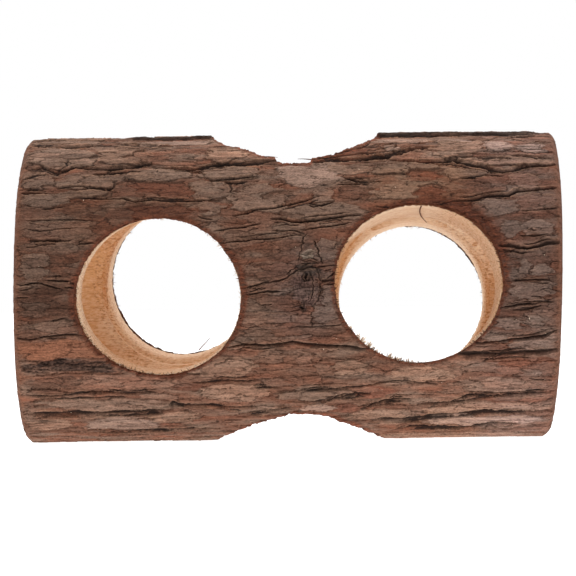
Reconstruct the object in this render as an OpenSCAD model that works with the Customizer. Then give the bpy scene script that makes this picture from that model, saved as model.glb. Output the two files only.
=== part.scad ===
// Short bored log with its bark on: a lengthwise tunnel, two side holes
// and one vertical hole. The log lies along X and rests on its bark at z = 0.

/* [Log] */
// Length of the log along its axis
log_len = 180; // [172:1:220]
// Diameter of the wood under the bark
wood_d = 96; // [92:1:104]
// Thickness of the inner bark
inner_bark_t = 1.8; // [1.2:0.1:2.4]
// Thickness of the outer bark at its highest plates
outer_bark_t = 2.4; // [2:0.1:3.4]
// Width of the bevel that breaks the bark edge at each end, in radius
end_bevel = 3; // [2:0.1:3.6]
// Lean of the left sawn end in side view, degrees
left_lean = 0.9; // [0:0.1:3]
// Turn of the left sawn end in top view, degrees
left_turn = 1.8; // [0:0.1:3]
// Lean of the right sawn end in side view, degrees
right_lean = 1.6; // [0:0.1:4]

/* [Tunnel] */
// Diameter of the tunnel bored from the left end
left_bore_d = 66; // [60:0.5:70]
// Sideways offset of the left bore, towards the rear
left_bore_y = -1; // [-3:0.5:3]
// Diameter of the tunnel bored from the right end
right_bore_d = 48; // [46:0.5:50]
// Sideways offset of the right bore, towards the rear
right_bore_y = 11; // [8:0.5:12]

/* [Cross holes] */
// Diameter of the two side holes
side_hole_d = 52; // [50:0.5:54]
// Position of the left side hole along the log
left_hole_x = -39.7; // [-41:0.1:-38.5]
// Height of the left side hole above the log axis
left_hole_z = 0.3; // [-1:0.1:2]
// Slope of the left side hole, rear end up, degrees
left_hole_slope = 3.5; // [0:0.1:4]
// Turn of the left side hole in top view, rear end to the right, degrees
left_hole_turn = 1.5; // [0:0.1:2]
// Position of the right side hole along the log
right_hole_x = 42.9; // [41.5:0.1:45]
// Height of the right side hole above the log axis
right_hole_z = -1.9; // [-2.5:0.1:0]
// Slope of the right side hole, rear end up, degrees
right_hole_slope = -3.5; // [-4:0.1:0]
// Turn of the right side hole in top view, rear end to the right, degrees
right_hole_turn = -0.8; // [-2:0.1:0]
// Diameter of the vertical hole
mid_hole_d = 55; // [52:0.5:56]
// Position of the vertical hole along the log
mid_hole_x = 2; // [0:0.5:4]

/* [Bark] */
// How far the inner bark stands back from the edge of a hole
inner_setback = 0.5; // [0.2:0.1:1]
// How far the outer bark plates stand back from the edge of a hole
outer_setback = 1.6; // [1.2:0.1:2.4]
// Width of the furrows between rows of plates
furrow_w = 1.2; // [0.8:0.1:2]
// Width of the cracks across a row
crack_w = 0.9; // [0.6:0.1:1.5]
// How much thinner the bark is in the worn row that lies underneath
worn_t = 1.3; // [1.1:0.1:1.5]

/* [Knot] */
// Position of the branch knot along the log
knot_x = 7.4; // [7:0.1:9]
// Height of the knot around the log, degrees above the front
knot_a = 0.6; // [0:0.1:3]
// Diameter of the knot at the surface of the log
knot_d = 9; // [7:0.5:9]
// Diameter of the knot at the core of the log
knot_core_d = 4; // [3:0.5:5]

/* [Hidden] */
$fn = 96;
wood_r = wood_d / 2;
inner_r = wood_r + inner_bark_t;
bark_r = inner_r + outer_bark_t;
rows = 20;
row_a = 360 / rows;
gap_a = furrow_w / 2 / bark_r * 180 / PI;
// The log rests on the lower edges of the two rows beside the worn one.
axis_z = bark_r * cos(row_a / 2 + gap_a);
end_r = bark_r - end_bevel;
left_reach = end_r * sqrt(pow(sin(left_lean), 2) + pow(sin(left_turn), 2));
right_reach = end_r * sin(right_lean);
left_x = -log_len / 2 - (right_reach - left_reach) / 2;
right_x = log_len / 2 - (right_reach - left_reach) / 2;
over = 12;
// Amount by which each row is thinner than the highest plates, from the front upwards.
row_drop = [
    0.1, 0.5, 0.2, 0.6, 0.3, 0, 0.5, 0.2, 0.6, 0.3,
    0.1, 0.6, 0.3, 0.5, 0, worn_t, 0, 0.4, 0.2, 0.5
];
// Cracks across each row, in parts of the half length.
row_cracks = [
    [-0.12, 0.79], [-0.66, 0.24], [-0.21, 0.47], [-0.58, 0.38], [-0.36, 0.71],
    [-0.62, 0.55], [-0.45, 0.64], [-0.7, 0.3], [-0.3, 0.5], [-0.81, 0.08],
    [-0.02, 0.84], [-0.74, 0.02], [-0.17, 0.52], [-0.48, 0.61], [-0.69, 0.66],
    [-0.5, 0.48], [-0.6, 0.73], [-0.4, 0.58], [-0.25, 0.33], [-0.77, 0.16]
];

// Puts a shape drawn around Z onto the log: angle 0 is the front, 90 the top.
module on_log() translate([0, 0, axis_z]) rotate([90, 0, -90]) children();

// Everything between the two sawn ends, with the bark edge broken.
module trimmed() {
    intersection() {
        children();
        translate([left_x, 0, axis_z]) rotate([0, left_lean, left_turn]) rotate([0, 90, 0])
            cylinder(h = 400, r1 = end_r, r2 = end_r + 300);
        translate([right_x, 0, axis_z]) rotate([0, right_lean, 0]) rotate([0, -90, 0])
            cylinder(h = 400, r1 = end_r, r2 = end_r + 300);
    }
}

module side_hole(x, z, slope, turn, grow) {
    translate([x, 0, axis_z + z]) rotate([0, 0, -turn]) rotate([slope - 90, 0, 0])
        cylinder(h = 3 * bark_r, d = side_hole_d + 2 * grow, center = true);
}

module mid_hole(grow) {
    translate([mid_hole_x, 0, axis_z])
        cylinder(h = 3 * bark_r, d = mid_hole_d + 2 * grow, center = true);
}

module cross_holes(grow) {
    side_hole(left_hole_x, left_hole_z, left_hole_slope, left_hole_turn, grow);
    side_hole(right_hole_x, right_hole_z, right_hole_slope, right_hole_turn, grow);
    mid_hole(grow);
}

module tunnel() {
    translate([mid_hole_x - 200, left_bore_y, axis_z]) rotate([0, 90, 0])
        cylinder(h = 200, d = left_bore_d);
    translate([mid_hole_x, right_bore_y, axis_z]) rotate([0, 90, 0])
        cylinder(h = 200, d = right_bore_d);
}

// The knot widens outwards from the core, as a branch does.
module knot_cone() {
    translate([knot_x, 0, axis_z]) rotate([90 - knot_a, 0, 0])
        cylinder(h = bark_r + 0.4, d1 = knot_core_d, d2 = knot_d);
}

module log_wood() {
    color("burlywood")
        difference() {
            trimmed() on_log() cylinder(h = log_len + 60, r = wood_r, center = true);
            tunnel();
            cross_holes(0);
            knot_cone();
        }
}

module inner_bark() {
    color("sienna")
        difference() {
            trimmed() on_log() difference() {
                cylinder(h = log_len + 60, r = inner_r, center = true);
                cylinder(h = log_len + 70, r = wood_r, center = true);
            }
            cross_holes(inner_setback);
            knot_cone();
        }
}

module branch_knot() {
    color("peru")
        difference() {
            knot_cone();
            mid_hole(0);
        }
}

// One plate between two angles and two positions along the log.
module plate(x0, x1, a0, a1, r) {
    on_log() rotate([0, 0, a0]) translate([0, 0, -x1])
        rotate_extrude(angle = a1 - a0)
            translate([inner_r, 0]) square([r - inner_r, x1 - x0]);
}

// One row of plates: k counts rows from the front upwards.
module bark_row(k) {
    a0 = (k - 0.5) * row_a + gap_a;
    a1 = (k + 0.5) * row_a - gap_a;
    r = bark_r - row_drop[k];
    c = row_cracks[k] * log_len / 2;
    e = log_len / 2 + over;
    plate(-e, c[0] - crack_w / 2, a0, a1, r);
    plate(c[0] + crack_w / 2, c[1] - crack_w / 2, a0, a1, r);
    plate(c[1] + crack_w / 2, e, a0, a1, r);
}

// A strip of outer bark: two rows side by side.
module bark_strip(k) {
    difference() {
        trimmed() union() {
            bark_row(k);
            bark_row(k + 1);
        }
        cross_holes(outer_setback);
        knot_cone();
    }
}

module bark_front() { color([0.45, 0.33, 0.27]) bark_strip(0); }
module bark_front_upper() { color([0.40, 0.30, 0.25]) bark_strip(2); }
module bark_top_front() { color([0.48, 0.36, 0.30]) bark_strip(4); }
module bark_top_rear() { color([0.42, 0.31, 0.26]) bark_strip(6); }
module bark_rear_upper() { color([0.46, 0.34, 0.28]) bark_strip(8); }
module bark_rear() { color([0.40, 0.30, 0.25]) bark_strip(10); }
module bark_rear_lower() { color([0.44, 0.33, 0.28]) bark_strip(12); }
module bark_bottom_rear() { color([0.39, 0.29, 0.24]) bark_strip(14); }
module bark_bottom_front() { color([0.47, 0.35, 0.29]) bark_strip(16); }
module bark_front_lower() { color([0.41, 0.31, 0.26]) bark_strip(18); }

log_wood();
inner_bark();
branch_knot();
bark_front();
bark_front_upper();
bark_top_front();
bark_top_rear();
bark_rear_upper();
bark_rear();
bark_rear_lower();
bark_bottom_rear();
bark_bottom_front();
bark_front_lower();
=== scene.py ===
import math

import bpy
import numpy as np
from mathutils import Matrix, Vector


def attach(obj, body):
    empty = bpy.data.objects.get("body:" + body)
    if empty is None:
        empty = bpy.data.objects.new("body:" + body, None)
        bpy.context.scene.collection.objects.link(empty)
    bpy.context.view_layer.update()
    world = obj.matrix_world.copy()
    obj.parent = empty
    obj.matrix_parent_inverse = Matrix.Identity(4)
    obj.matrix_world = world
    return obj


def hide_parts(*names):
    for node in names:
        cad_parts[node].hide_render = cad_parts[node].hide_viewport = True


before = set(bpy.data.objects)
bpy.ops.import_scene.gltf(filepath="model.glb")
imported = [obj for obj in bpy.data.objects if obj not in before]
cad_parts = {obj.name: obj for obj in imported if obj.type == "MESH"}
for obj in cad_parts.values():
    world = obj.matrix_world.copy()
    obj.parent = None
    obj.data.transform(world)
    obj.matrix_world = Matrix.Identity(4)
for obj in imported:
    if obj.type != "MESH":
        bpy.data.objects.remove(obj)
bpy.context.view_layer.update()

# ---------------------------------------------------------------- the log, in mm
AXIS_Z = 51.46
WOOD_R, INNER_R, BARK_R = 48.0, 49.6, 52.2
LEFT_X, RIGHT_X = -89.823, 90.177
ARC = math.pi * 52.0 / 180.0            # mm of bark per degree around the log
ROUND = 360.0 * ARC
HOLE_R, MID_R = 26.0, 27.5
# side holes: x, height over the axis, slope and turn in degrees
SIDE = {"left": (-39.7, 0.3, 3.5, 1.5), "right": (42.9, -1.9, -3.5, -0.8)}
MID_X = 2.0
KNOT_X, KNOT_A = 7.4, 0.6

# ---------------------------------------------------------------- the photograph's camera
CAM_D, CAM_YAW, CAM_ROLL, CAM_F = 985.0, math.radians(1.63), math.radians(0.86), 2883.0
_r = np.array([math.cos(CAM_YAW), math.sin(CAM_YAW), 0.0])
_w = np.array([-math.sin(CAM_YAW), math.cos(CAM_YAW), 0.0])
_u = np.array([0.0, 0.0, 1.0])
CAM_RIGHT = _r * math.cos(CAM_ROLL) - _u * math.sin(CAM_ROLL)
CAM_UP = _r * math.sin(CAM_ROLL) + _u * math.cos(CAM_ROLL)
CAM_POS = -CAM_D * _w - 0.171 * CAM_RIGHT - 0.103 * CAM_UP      # from the middle of the log's axis


def from_photo(px, py, radius=51.6):
    """Where a point of the photograph lies on the log: mm along it and degrees around it (0 front, 90 top)."""
    d = _w + (px - 288.0) / CAM_F * CAM_RIGHT + (288.0 - py) / CAM_F * CAM_UP
    a = d[1] ** 2 + d[2] ** 2
    b = CAM_POS[1] * d[1] + CAM_POS[2] * d[2]
    c = CAM_POS[1] ** 2 + CAM_POS[2] ** 2 - radius ** 2
    t = (-b - math.sqrt(max(b * b - a * c, 0.0))) / a
    p = CAM_POS + t * d
    return p[0], math.degrees(math.atan2(p[2], -p[1]))


# ---------------------------------------------------------------- noise, periodic around the log
def mix32(i, j, seed):
    h = (i & 0xFFFFFFFF).astype(np.uint32) * np.uint32(0x9E3779B1)
    h ^= (j & 0xFFFFFFFF).astype(np.uint32) * np.uint32(0x85EBCA77)
    h ^= np.uint32((seed * 0xC2B2AE3D) & 0xFFFFFFFF)
    h ^= h >> np.uint32(15)
    h *= np.uint32(0x2C1B3C6D)
    h ^= h >> np.uint32(12)
    h *= np.uint32(0x297A2D39)
    h ^= h >> np.uint32(15)
    return h


def unit(h):
    return h.astype(np.float64) / 4294967296.0


def gnoise(u, w, n, seed):
    iu, iw = np.floor(u).astype(np.int64), np.floor(w).astype(np.int64)
    fu, fw = u - iu, w - iw

    def corner(du, dw):
        t = unit(mix32(iu + du, (iw + dw) % n, seed)) * (2 * math.pi)
        return np.cos(t) * (fu - du) + np.sin(t) * (fw - dw)

    su = fu ** 3 * (fu * (fu * 6 - 15) + 10)
    sw = fw ** 3 * (fw * (fw * 6 - 15) + 10)
    p, q, r, s = corner(0, 0), corner(1, 0), corner(0, 1), corner(1, 1)
    return 1.5 * ((p + (q - p) * su) * (1 - sw) + (r + (s - r) * su) * sw)


def noise(x, a, sx, sv, seed, octaves=1, gain=0.5):
    """Noise of about -1..1 with features sx mm long and sv mm wide around the log."""
    n = max(3, int(round(ROUND / sv)))
    w = np.mod(a, 360.0) / 360.0
    total, amp, norm = 0.0, 1.0, 0.0
    for o in range(octaves):
        total = total + amp * gnoise(x / sx * 2 ** o + 17.31 * o, w * (n * 2 ** o), n * 2 ** o, seed + 31 * o)
        norm += amp
        amp *= gain
    return total / norm


def wave(t, n, seed):
    """Periodic noise along a circle: t in radians, n bumps."""
    return gnoise(np.full_like(t, 0.37), np.mod(t / (2 * math.pi), 1.0) * n, n, seed)


def cells(x, a, sx, sv, seed, jitter=0.92):
    """Flakes about sx by sv mm: distance to the two nearest centres, flake number, offset across it."""
    n = int(round(ROUND / sv))
    u, w = x / sx, np.mod(a, 360.0) / 360.0 * n
    iu, iw = np.floor(u).astype(np.int64), np.floor(w).astype(np.int64)
    d1 = np.full(u.shape, 9.0)
    d2 = np.full(u.shape, 9.0)
    num = np.zeros(u.shape, np.uint32)
    across = np.zeros(u.shape)
    for dw in (-1, 0, 1):
        for du in (-1, 0, 1):
            cu, cw = iu + du, iw + dw
            h = mix32(cu, cw % n, seed)
            g = mix32(cu + 7919, cw % n, seed + 5)
            qx = cu + 0.5 + jitter * (unit(h) - 0.5) + 0.5 * (unit(mix32(cw % n, cw % n, seed + 9)) - 0.5)
            qw = cw + 0.5 + jitter * (unit(g) - 0.5)
            d = (qx - u) ** 2 + (qw - w) ** 2
            near = d < d1
            d2 = np.where(near, d1, np.minimum(d2, d))
            across = np.where(near, w - qw, across)
            num = np.where(near, h, num)
            d1 = np.where(near, d, d1)
    return np.sqrt(d1), np.sqrt(d2), num, across


def rand_of(num, k):
    return unit(mix32(num.astype(np.int64), np.full(num.shape, k, np.int64), 77))


def smooth(e0, e1, v):
    t = np.clip((v - e0) / (e1 - e0), 0.0, 1.0)
    return t * t * (3 - 2 * t)


def lerp(p, q, t):
    return p + (q - p) * t


def lin(r, g, b):
    """Linear colour from the 0-255 values of a display."""
    return np.array([((c / 255.0 + 0.055) / 1.055) ** 2.4 if c > 10 else c / 3294.6 for c in (r, g, b)])


# ---------------------------------------------------------------- holes through the log
def hole_frame(name):
    """Middle of a hole, measured from the middle of the log, two directions across it and the one along it."""
    if name == "mid":
        return np.array([MID_X, 0, 0]), np.array([1.0, 0, 0]), np.array([0, 1.0, 0]), np.array([0, 0, 1.0])
    hx, hz, slope, turn = SIDE[name]
    s, t = math.radians(slope), math.radians(turn)
    ez = np.array([math.cos(s) * math.sin(t), math.cos(s) * math.cos(t), math.sin(s)])
    ex = np.array([math.cos(t), -math.sin(t), 0.0])
    return np.array([hx, 0, hz]), ex, np.cross(ex, ez), ez


def hole_coords(name, x, y, z):
    """Distance from a hole's axis, angle around it, and position along it; z is measured from the log's axis."""
    o, ex, ey, ez = hole_frame(name)
    p = np.stack([x, y, z], -1) - o
    u, v = p @ ex, p @ ey
    return np.hypot(u, v), np.arctan2(v, u), p @ ez


def hole_r(name, t, back=0.0):
    """Radius of a hole in the wood at angle t, from the front (back = -1) to the far side (1). Drying has drawn the
    front narrower across the grain than along it."""
    if name == "mid":
        return MID_R + 0.0 * t
    r0, oval, r1 = (26.05, 0.022, 26.0) if name == "left" else (26.3, 0.027, 25.7)
    front = r0 * (1.0 + oval * np.cos(2 * t))
    return front + (r1 - front) * np.clip((back + 1) / 2, 0, 1)


def bump(t, centre, width):
    """A smooth bump on a circle: degrees, 1 at the centre."""
    d = np.mod(np.degrees(t) - centre + 180.0, 360.0) - 180.0
    return np.exp(-(d / width) ** 2)


# outlines of the notches at the top and bottom, in the photograph's pixels
NOTCH = {
    1: "216,138 224,145 239,149 251,151 264,156 275,156 277,160 281,162.5 295,162.5 309.5,162.5 312,157.5 326,154.6 344,151 345,148.6 360,144 370,139",
    -1: "223,439 233,435 247,428.5 256,424 282,418 294,414.4 315,414.6 328,416.3 338,421 350,424.6 366,430 379,433.5",
}


def notch_rim(side):
    pts = []
    for p in NOTCH[side].split():
        rim = 51.4 if side > 0 else 51.0
        x, a = from_photo(*map(float, p.split(",")), rim)
        y = -rim * math.cos(math.radians(a))
        pts.append((math.atan2(y, x - MID_X), math.hypot(x - MID_X, y) - MID_R))
    return np.array(sorted(pts))


RIMS = {k: notch_rim(k) for k in NOTCH}


def setback(name, side, t):
    """How far the outer bark stands back from the rim of a hole, mm; at the far side it overhangs in places."""
    seed = {"left": 200, "right": 230, "mid": 260}[name] + (0 if side < 0 else 13)
    rag = 0.22 * wave(t, 23, seed + 1) + 0.24 * wave(t, 71, seed + 2) + 0.16 * wave(t, 190, seed + 3)
    s = 0.62 + 0.25 * wave(t, 7, seed) + rag
    if name == "mid":
        t = np.mod(t + math.pi, 2 * math.pi) - math.pi
        seen = np.interp(t, RIMS[side][:, 0], RIMS[side][:, 1]) + 1.0 * rag
        s = lerp(s + 0.5, seen, smooth(-0.05, -0.25, t) * smooth(-math.pi + 0.05, -math.pi + 0.25, t))
    elif side > 0:
        s = lerp(s, -0.05 + 1.2 * rag, bump(t, 222 if name == "left" else 55, 62))
    elif name == "left":
        s = s + bump(t, 232, 46) * (0.15 + 0.8 * wave(t, 130, seed + 4) + 0.4 * wave(t, 40, seed + 5))
    else:
        s = s + bump(t, 50, 34) * (0.35 + 0.7 * wave(t, 120, seed + 4) + 0.4 * wave(t, 44, seed + 5))
    return np.clip(s, -0.8, 4.5)


def torn_width(name, side, t):
    """Width of the reddish torn band of bark around a hole, mm."""
    w = 0.45 + 0.30 * wave(t, 9, 290 + side)
    if name == "mid":
        w = w + 0.5 + (1.5 if side < 0 else 1.9) * bump(t, 310, 27)
    elif side < 0 and name == "right":
        w = w + 3.3 * bump(t, 52, 29) + 1.0 * bump(t, 12, 26) + 1.2 * bump(t, 122, 22) + 0.5 * bump(t, 200, 30)
    elif side < 0 and name == "left":
        w = w + 0.9 * bump(t, 180, 40) + 1.2 * bump(t, 15, 40) + 0.6 * bump(t, 100, 40)
    return np.maximum(w, 0.25)


# ---------------------------------------------------------------- bark features read from the photograph, in its pixels
# furrows and cracks: strength 1-4 and a line of points
FURROWS = [
    (3, "27,147 70,147 100,146"), (4, "122,145 145,144 159,145 173,147"),
    (2, "25,170 43,167 56,172 75,167 99,168 108,169"), (3, "103,168 127,167 146,163 153,163"),
    (3, "153,166 174,168 193,168 222,165 243,164 261,162 276,159"),
    (1, "67,160 66,166 57,171"), (2, "91,175 111,172 141,171"), (1, "20,180 39,176 52,174 68,171"),
    (2, "56,188 65,187 82,186 92,189 106,190 112,187 115,182"),
    (2, "76,197 99,198 123,198 135,201 151,198 179,200 193,200 222,199"),
    (2, "20,192 52,194"), (1, "41,209 64,206"), (1, "25,220 52,219 76,219 92,220"),
    (1, "25,228 39,231 66,228 79,227"), (3, "31,240 56,240 71,240"), (2, "78,244 93,242"),
    (1, "197,215 206,218 212,219"), (1, "26,247 38,246"),
    (2, "209,180 232,178 258,176"), (2, "225,181 244,182"), (1, "230,180 231,193"),
    (2, "232,215 248,212 254,209 276,208 293,203 306,200 319,195"), (2, "308,203 321,205 334,202"),
    (3, "270,218 281,218 293,221 313,220 341,216 360,214"), (2, "303,229 325,226 352,222"),
    (2, "273,230 295,230 303,233"), (2, "214,230 245,226 261,222"), (2, "222,242 248,240 276,237 298,235 304,236"),
    (1, "304,234 303,244"),
    (3, "312,161 335,160 370,158"), (4, "360,158 386,156 403,151 410,149"), (3, "405,150 419,148 436,147"),
    (3, "386,159 423,162 451,160 472,164 488,167 505,170 523,165 543,164 557,163"),
    (3, "454,199 474,198 491,194 508,194 517,190 535,189 556,186"),
    (4, "499,245 510,245 519,247 528,248 538,245 549,242 561,242"),
    (1, "360,179 383,181"), (2, "343,177 352,178 361,180 370,181"), (2, "337,184 357,183 370,182"),
    (1, "521,210 559,207"), (2, "519,235 536,235 547,233"), (1, "463,177 478,175 491,174 504,174"),
    (2, "468,139 484,140 495,137 499,135 517,139 536,141 553,141"),
    (1, "373,205 393,204 412,202 438,202 458,198"),
    (2, "511,281 529,280 550,280"), (2, "521,302 539,301 554,302"), (3, "501,308 518,305 534,303"),
    (2, "513,311 524,310 534,308 542,305"),
    (3, "472,345 486,343 502,341 518,340 542,337 558,330"), (4, "451,355 472,355 504,355 530,353 559,351"),
    (2, "484,362 497,357 504,356"),
    (2, "246,288 262,283 270,281"), (2, "315,267 336,264"),
    (2, "246,295 267,291 281,292"), (1, "259,306 274,304"), (3, "321,281 335,279"),
    (1, "312,312 312,327"), (1, "293,327 310,327 344,325"),
    (2, "45,280 52,280 60,281 71,281"), (2, "16,284 22,286 31,283 41,283 50,286 63,289"), (2, "64,287 74,288"),
    (1, "16,298 28,297"), (2, "16,338 31,340 48,337 68,335 82,337"), (1, "50,321 65,319"),
    (3, "224,349 243,345 263,346 277,345 294,343 312,346 340,347 370,351"),
    (2, "193,383 200,384 219,382 243,382 259,381"), (2, "255,388 279,389"),
    (3, "288,403 302,403 319,403 335,398 356,395 372,396"), (2, "299,393 317,391 340,389 358,388 385,383"),
    (2, "200,407 236,409 259,408"), (2, "247,415 276,411 294,409"), (2, "357,408 379,403 400,401"),
    (2, "24,396 52,397 98,393 126,394 157,393"), (1, "37,400 95,398 126,398"),
    (4, "24,415 53,416 92,415 106,415 132,414 157,413 173,411"),
    (3, "170,409 173,404 185,407 222,407"),
    (3, "75,433 126,433 153,431 173,430 222,429"), (3, "85,440.5 126,440 222,438"),
    (3, "361,411 380,403.5 395,401 412,400.6"), (3, "419,405.5 435,405 449,404 458,401 467,397.5 485,396 510,396 530,395 550,393.6"),
    (2, "446,405 465,402 484,399 504,397"),
    (4, "368,423 380,421 416,421 433,417 465,415 491,412 510,414 543,413"),
    (4, "383,432 412,428 438,428 471,428 497,425 519,425"),
    (1, "382,384 399,381 419,383 438,385"), (1, "529,379 543,381 552,381"),
    (1, "304,234 301,248 298,262"), (2, "314,240 319,253 322,263"), (4, "299,269 307,267 316,266"),
    (3, "306,273 306,276 306,279"), (1, "315,267 320,280 321,294 314,309"), (3, "301,308 303,308.5"),
    (2, "268,283 279,280 287,278 296,271 301,268"), (2, "320,282 328,278 336,271"),
    (1, "304,259 310,257 317,260"), (1, "304,262 310,260 318,263"), (1, "309,272 313,281 314,292 310,302"),
    (3, "115,138 160,137.6 216,137.4"), (3, "372,136 420,135.2 478,135.6"), (3, "496,136 525,135.4 550,135.6"),
    (1, "312,159 328,157 346,154.7 369,152.5 400,149"), (1, "328,154.7 346,151 362,147 372,142"),
    (2, "378,146 400,142 430,140 460,141"), (1, "372,150 390,147 415,144"), (2, "30,141 60,142 100,141"),
    (4, "378,156.5 392,154.5 404,151.5"), (2, "510,156 525,156 555,158.5"), (2, "477,158.5 493,157.7 512,158.5"),
]
# flakes: kind, then the box from left to right and top to bottom
FLAKES = [
    ("g", 27, 96, 149, 167), ("g", 55, 111, 175, 188), ("g", 56, 106, 190, 197), ("g", 20, 65, 194, 208),
    ("g", 20, 54, 174, 191), ("d", 84, 106, 206, 219), ("t", 98, 152, 148, 164), ("r", 127, 174, 149, 161),
    ("g", 126, 193, 169, 180), ("r", 112, 191, 180, 197), ("g", 191, 222, 181, 199), ("g", 197, 222, 202, 214),
    ("r", 106, 197, 203, 212), ("r", 65, 87, 199, 215), ("b", 25, 87, 222, 239), ("t", 128, 153, 172, 180),
    ("g", 200, 261, 167, 180), ("g", 200, 235, 182, 197), ("g", 232, 287, 183, 211), ("r", 261, 285, 191, 200),
    ("t", 206, 248, 149, 163), ("p", 278, 343, 163, 186), ("g", 289, 367, 203, 219), ("g", 313, 334, 188, 202),
    ("r", 335, 370, 185, 200), ("d", 341, 372, 177, 185), ("t", 328, 372, 164, 174), ("r", 214, 261, 230, 242),
    ("g", 271, 304, 222, 230), ("r", 262, 300, 232, 262), ("g", 313, 337, 238, 262),
    ("t", 433, 483, 142, 158), ("p", 483, 512, 142, 152), ("p", 518, 546, 144, 153), ("t", 458, 557, 156, 164),
    ("g", 373, 433, 163, 173), ("o", 407, 441, 168, 180), ("t", 445, 485, 168, 180), ("b", 509, 539, 172, 188),
    ("r", 447, 488, 178, 198), ("g", 376, 417, 183, 198), ("o", 414, 446, 184, 201), ("g", 468, 517, 198, 216),
    ("b", 518, 560, 193, 208), ("g", 501, 520, 219, 236), ("g", 519, 553, 219, 234), ("g", 519, 531, 259, 273),
    ("g", 532, 552, 264, 275), ("r", 510, 522, 250, 268), ("g", 511, 556, 282, 301), ("g", 494, 526, 318, 330),
    ("g", 526, 543, 313, 327), ("g", 486, 510, 335, 342), ("g", 510, 559, 340, 349), ("o", 497, 530, 359, 375),
    ("o", 533, 556, 359, 376), ("t", 391, 454, 367, 383), ("t", 461, 534, 377, 393),
    ("t", 423, 548, 403, 413), ("g", 368, 408, 411, 421), ("p", 427, 543, 417, 426), ("t", 373, 543, 431, 438),
    ("s", 14, 106, 341, 361), ("k", 20, 119, 361, 373), ("d", 25, 79, 378, 392), ("b", 79, 172, 373, 392),
    ("w", 173, 203, 385, 394), ("g", 37, 171, 399, 411), ("p", 84, 158, 418, 430), ("t", 150, 196, 413, 423),
    ("t", 28, 72, 420, 430), ("t", 186, 222, 362, 378), ("t", 200, 255, 358, 378), ("r", 257, 333, 350, 380),
    ("b", 298, 312, 350, 367), ("t", 333, 367, 361, 376), ("t", 202, 271, 385, 402), ("g", 284, 359, 391, 402),
    ("x", 354, 394, 387, 400), ("x", 336, 366, 405, 414), ("p", 300, 334, 405, 414), ("t", 348, 400, 409, 421),
    ("g", 22, 48, 252, 281), ("r", 50, 72, 246, 279), ("d", 14, 68, 288, 296), ("d", 16, 74, 298, 318),
    ("b", 18, 78, 322, 336), ("r", 230, 246, 250, 282), ("b", 244, 292, 262, 278), ("b", 230, 298, 313, 326),
    ("m", 290, 321, 268, 309), ("r", 283, 296, 294, 311), ("r", 330, 420, 146, 157), ("w", 314, 368, 147, 159), ("p", 372, 430, 138, 143.5), ("p", 383, 400, 145.5, 150.5), ("p", 432, 470, 138.5, 142),
    ("w", 106, 197, 203, 218), ("w", 113, 190, 181, 197), ("w", 415, 446, 184, 200), ("w", 408, 441, 169, 180),
    ("p", 140, 216, 139.5, 144), ("g", 36, 100, 141.5, 147), ("c", 302, 315, 248, 258), ("r", 303, 318, 258, 264), ("g", 323, 336, 284, 312), ("r", 240, 282, 294, 312),
    ("h", 295, 318, 263, 272.5), ("h", 302, 311, 267, 281), ("h", 299.5, 305.5, 304.5, 311.5), ("g", 314, 336, 306, 324), ("d", 232, 340, 328, 341),
]
# kind h, near black and sunk about half a millimetre: painted shade in the pit and gaps at the knot
KIND = {
    "b": lin(122, 88, 72), "g": lin(126, 101, 86), "t": lin(142, 110, 91), "p": lin(158, 129, 113),
    "r": lin(114, 78, 61), "o": lin(115, 70, 51), "d": lin(97, 68, 54), "s": lin(133, 87, 65), "k": lin(60, 46, 40), "m": lin(94, 72, 63),
    "c": lin(172, 150, 126), "w": lin(109, 67, 51), "x": lin(123, 76, 59), "h": lin(44, 33, 29),
}
LEVEL = {"h": -0.55, "w": -0.22, "x": -0.20, "b": 0.18, "g": 0.40, "t": 0.30, "p": 0.02, "r": -0.20, "o": -0.26, "d": -0.15, "s": -0.30, "k": -0.25, "m": 0.25, "c": 0.2}
ROUGH = {"h": 0.9, "w": 0.9, "x": 0.9, "b": 1.0, "g": 0.7, "t": 0.8, "p": 0.45, "r": 1.0, "o": 0.9, "d": 1.1, "s": 0.22, "k": 1.4, "m": 1.2, "c": 1.0}
WEIGHT = {"r": 0.60, "o": 0.72, "s": 1.0, "h": 1.0, "w": 0.78, "x": 0.74}
FURROW_W = {1: 0.20, 2: 0.27, 3: 0.40, 4: 0.62}
FURROW_D = {1: 0.50, 2: 0.80, 3: 1.20, 4: 1.55}
# the tan below is a painted highlight on the raised lips of flakes and furrows
BROWN, RED, GREY, LIP_HIGHLIGHT_TAN = lin(114, 81, 65), lin(118, 76, 58), lin(127, 103, 88), lin(166, 127, 101)
# the darkest colour: flecks of the dark crust, and painted shade in furrows, cracks, lamella lines, under flake edges
# and along the crest
DARK_CRUST_AND_SHADE, TORN = lin(39, 28, 23), lin(110, 63, 45)


def beside(k, pts, rng):
    """A finer crack that runs beside part of a furrow."""
    t0 = rng.uniform(0, 0.6)
    t1 = min(1.0, t0 + rng.uniform(0.2, 0.5))
    t = np.linspace(t0, t1, 6) * (len(pts) - 1)
    i = np.minimum(t.astype(int), len(pts) - 2)
    p = pts[i] + (pts[i + 1] - pts[i]) * (t - i)[:, None]
    off = rng.choice([-1, 1]) * rng.uniform(0.7, 1.9)
    p[:, 1] += (off + rng.normal(0, 0.15, 6)) / ARC
    return max(1, k - 2), p


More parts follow.
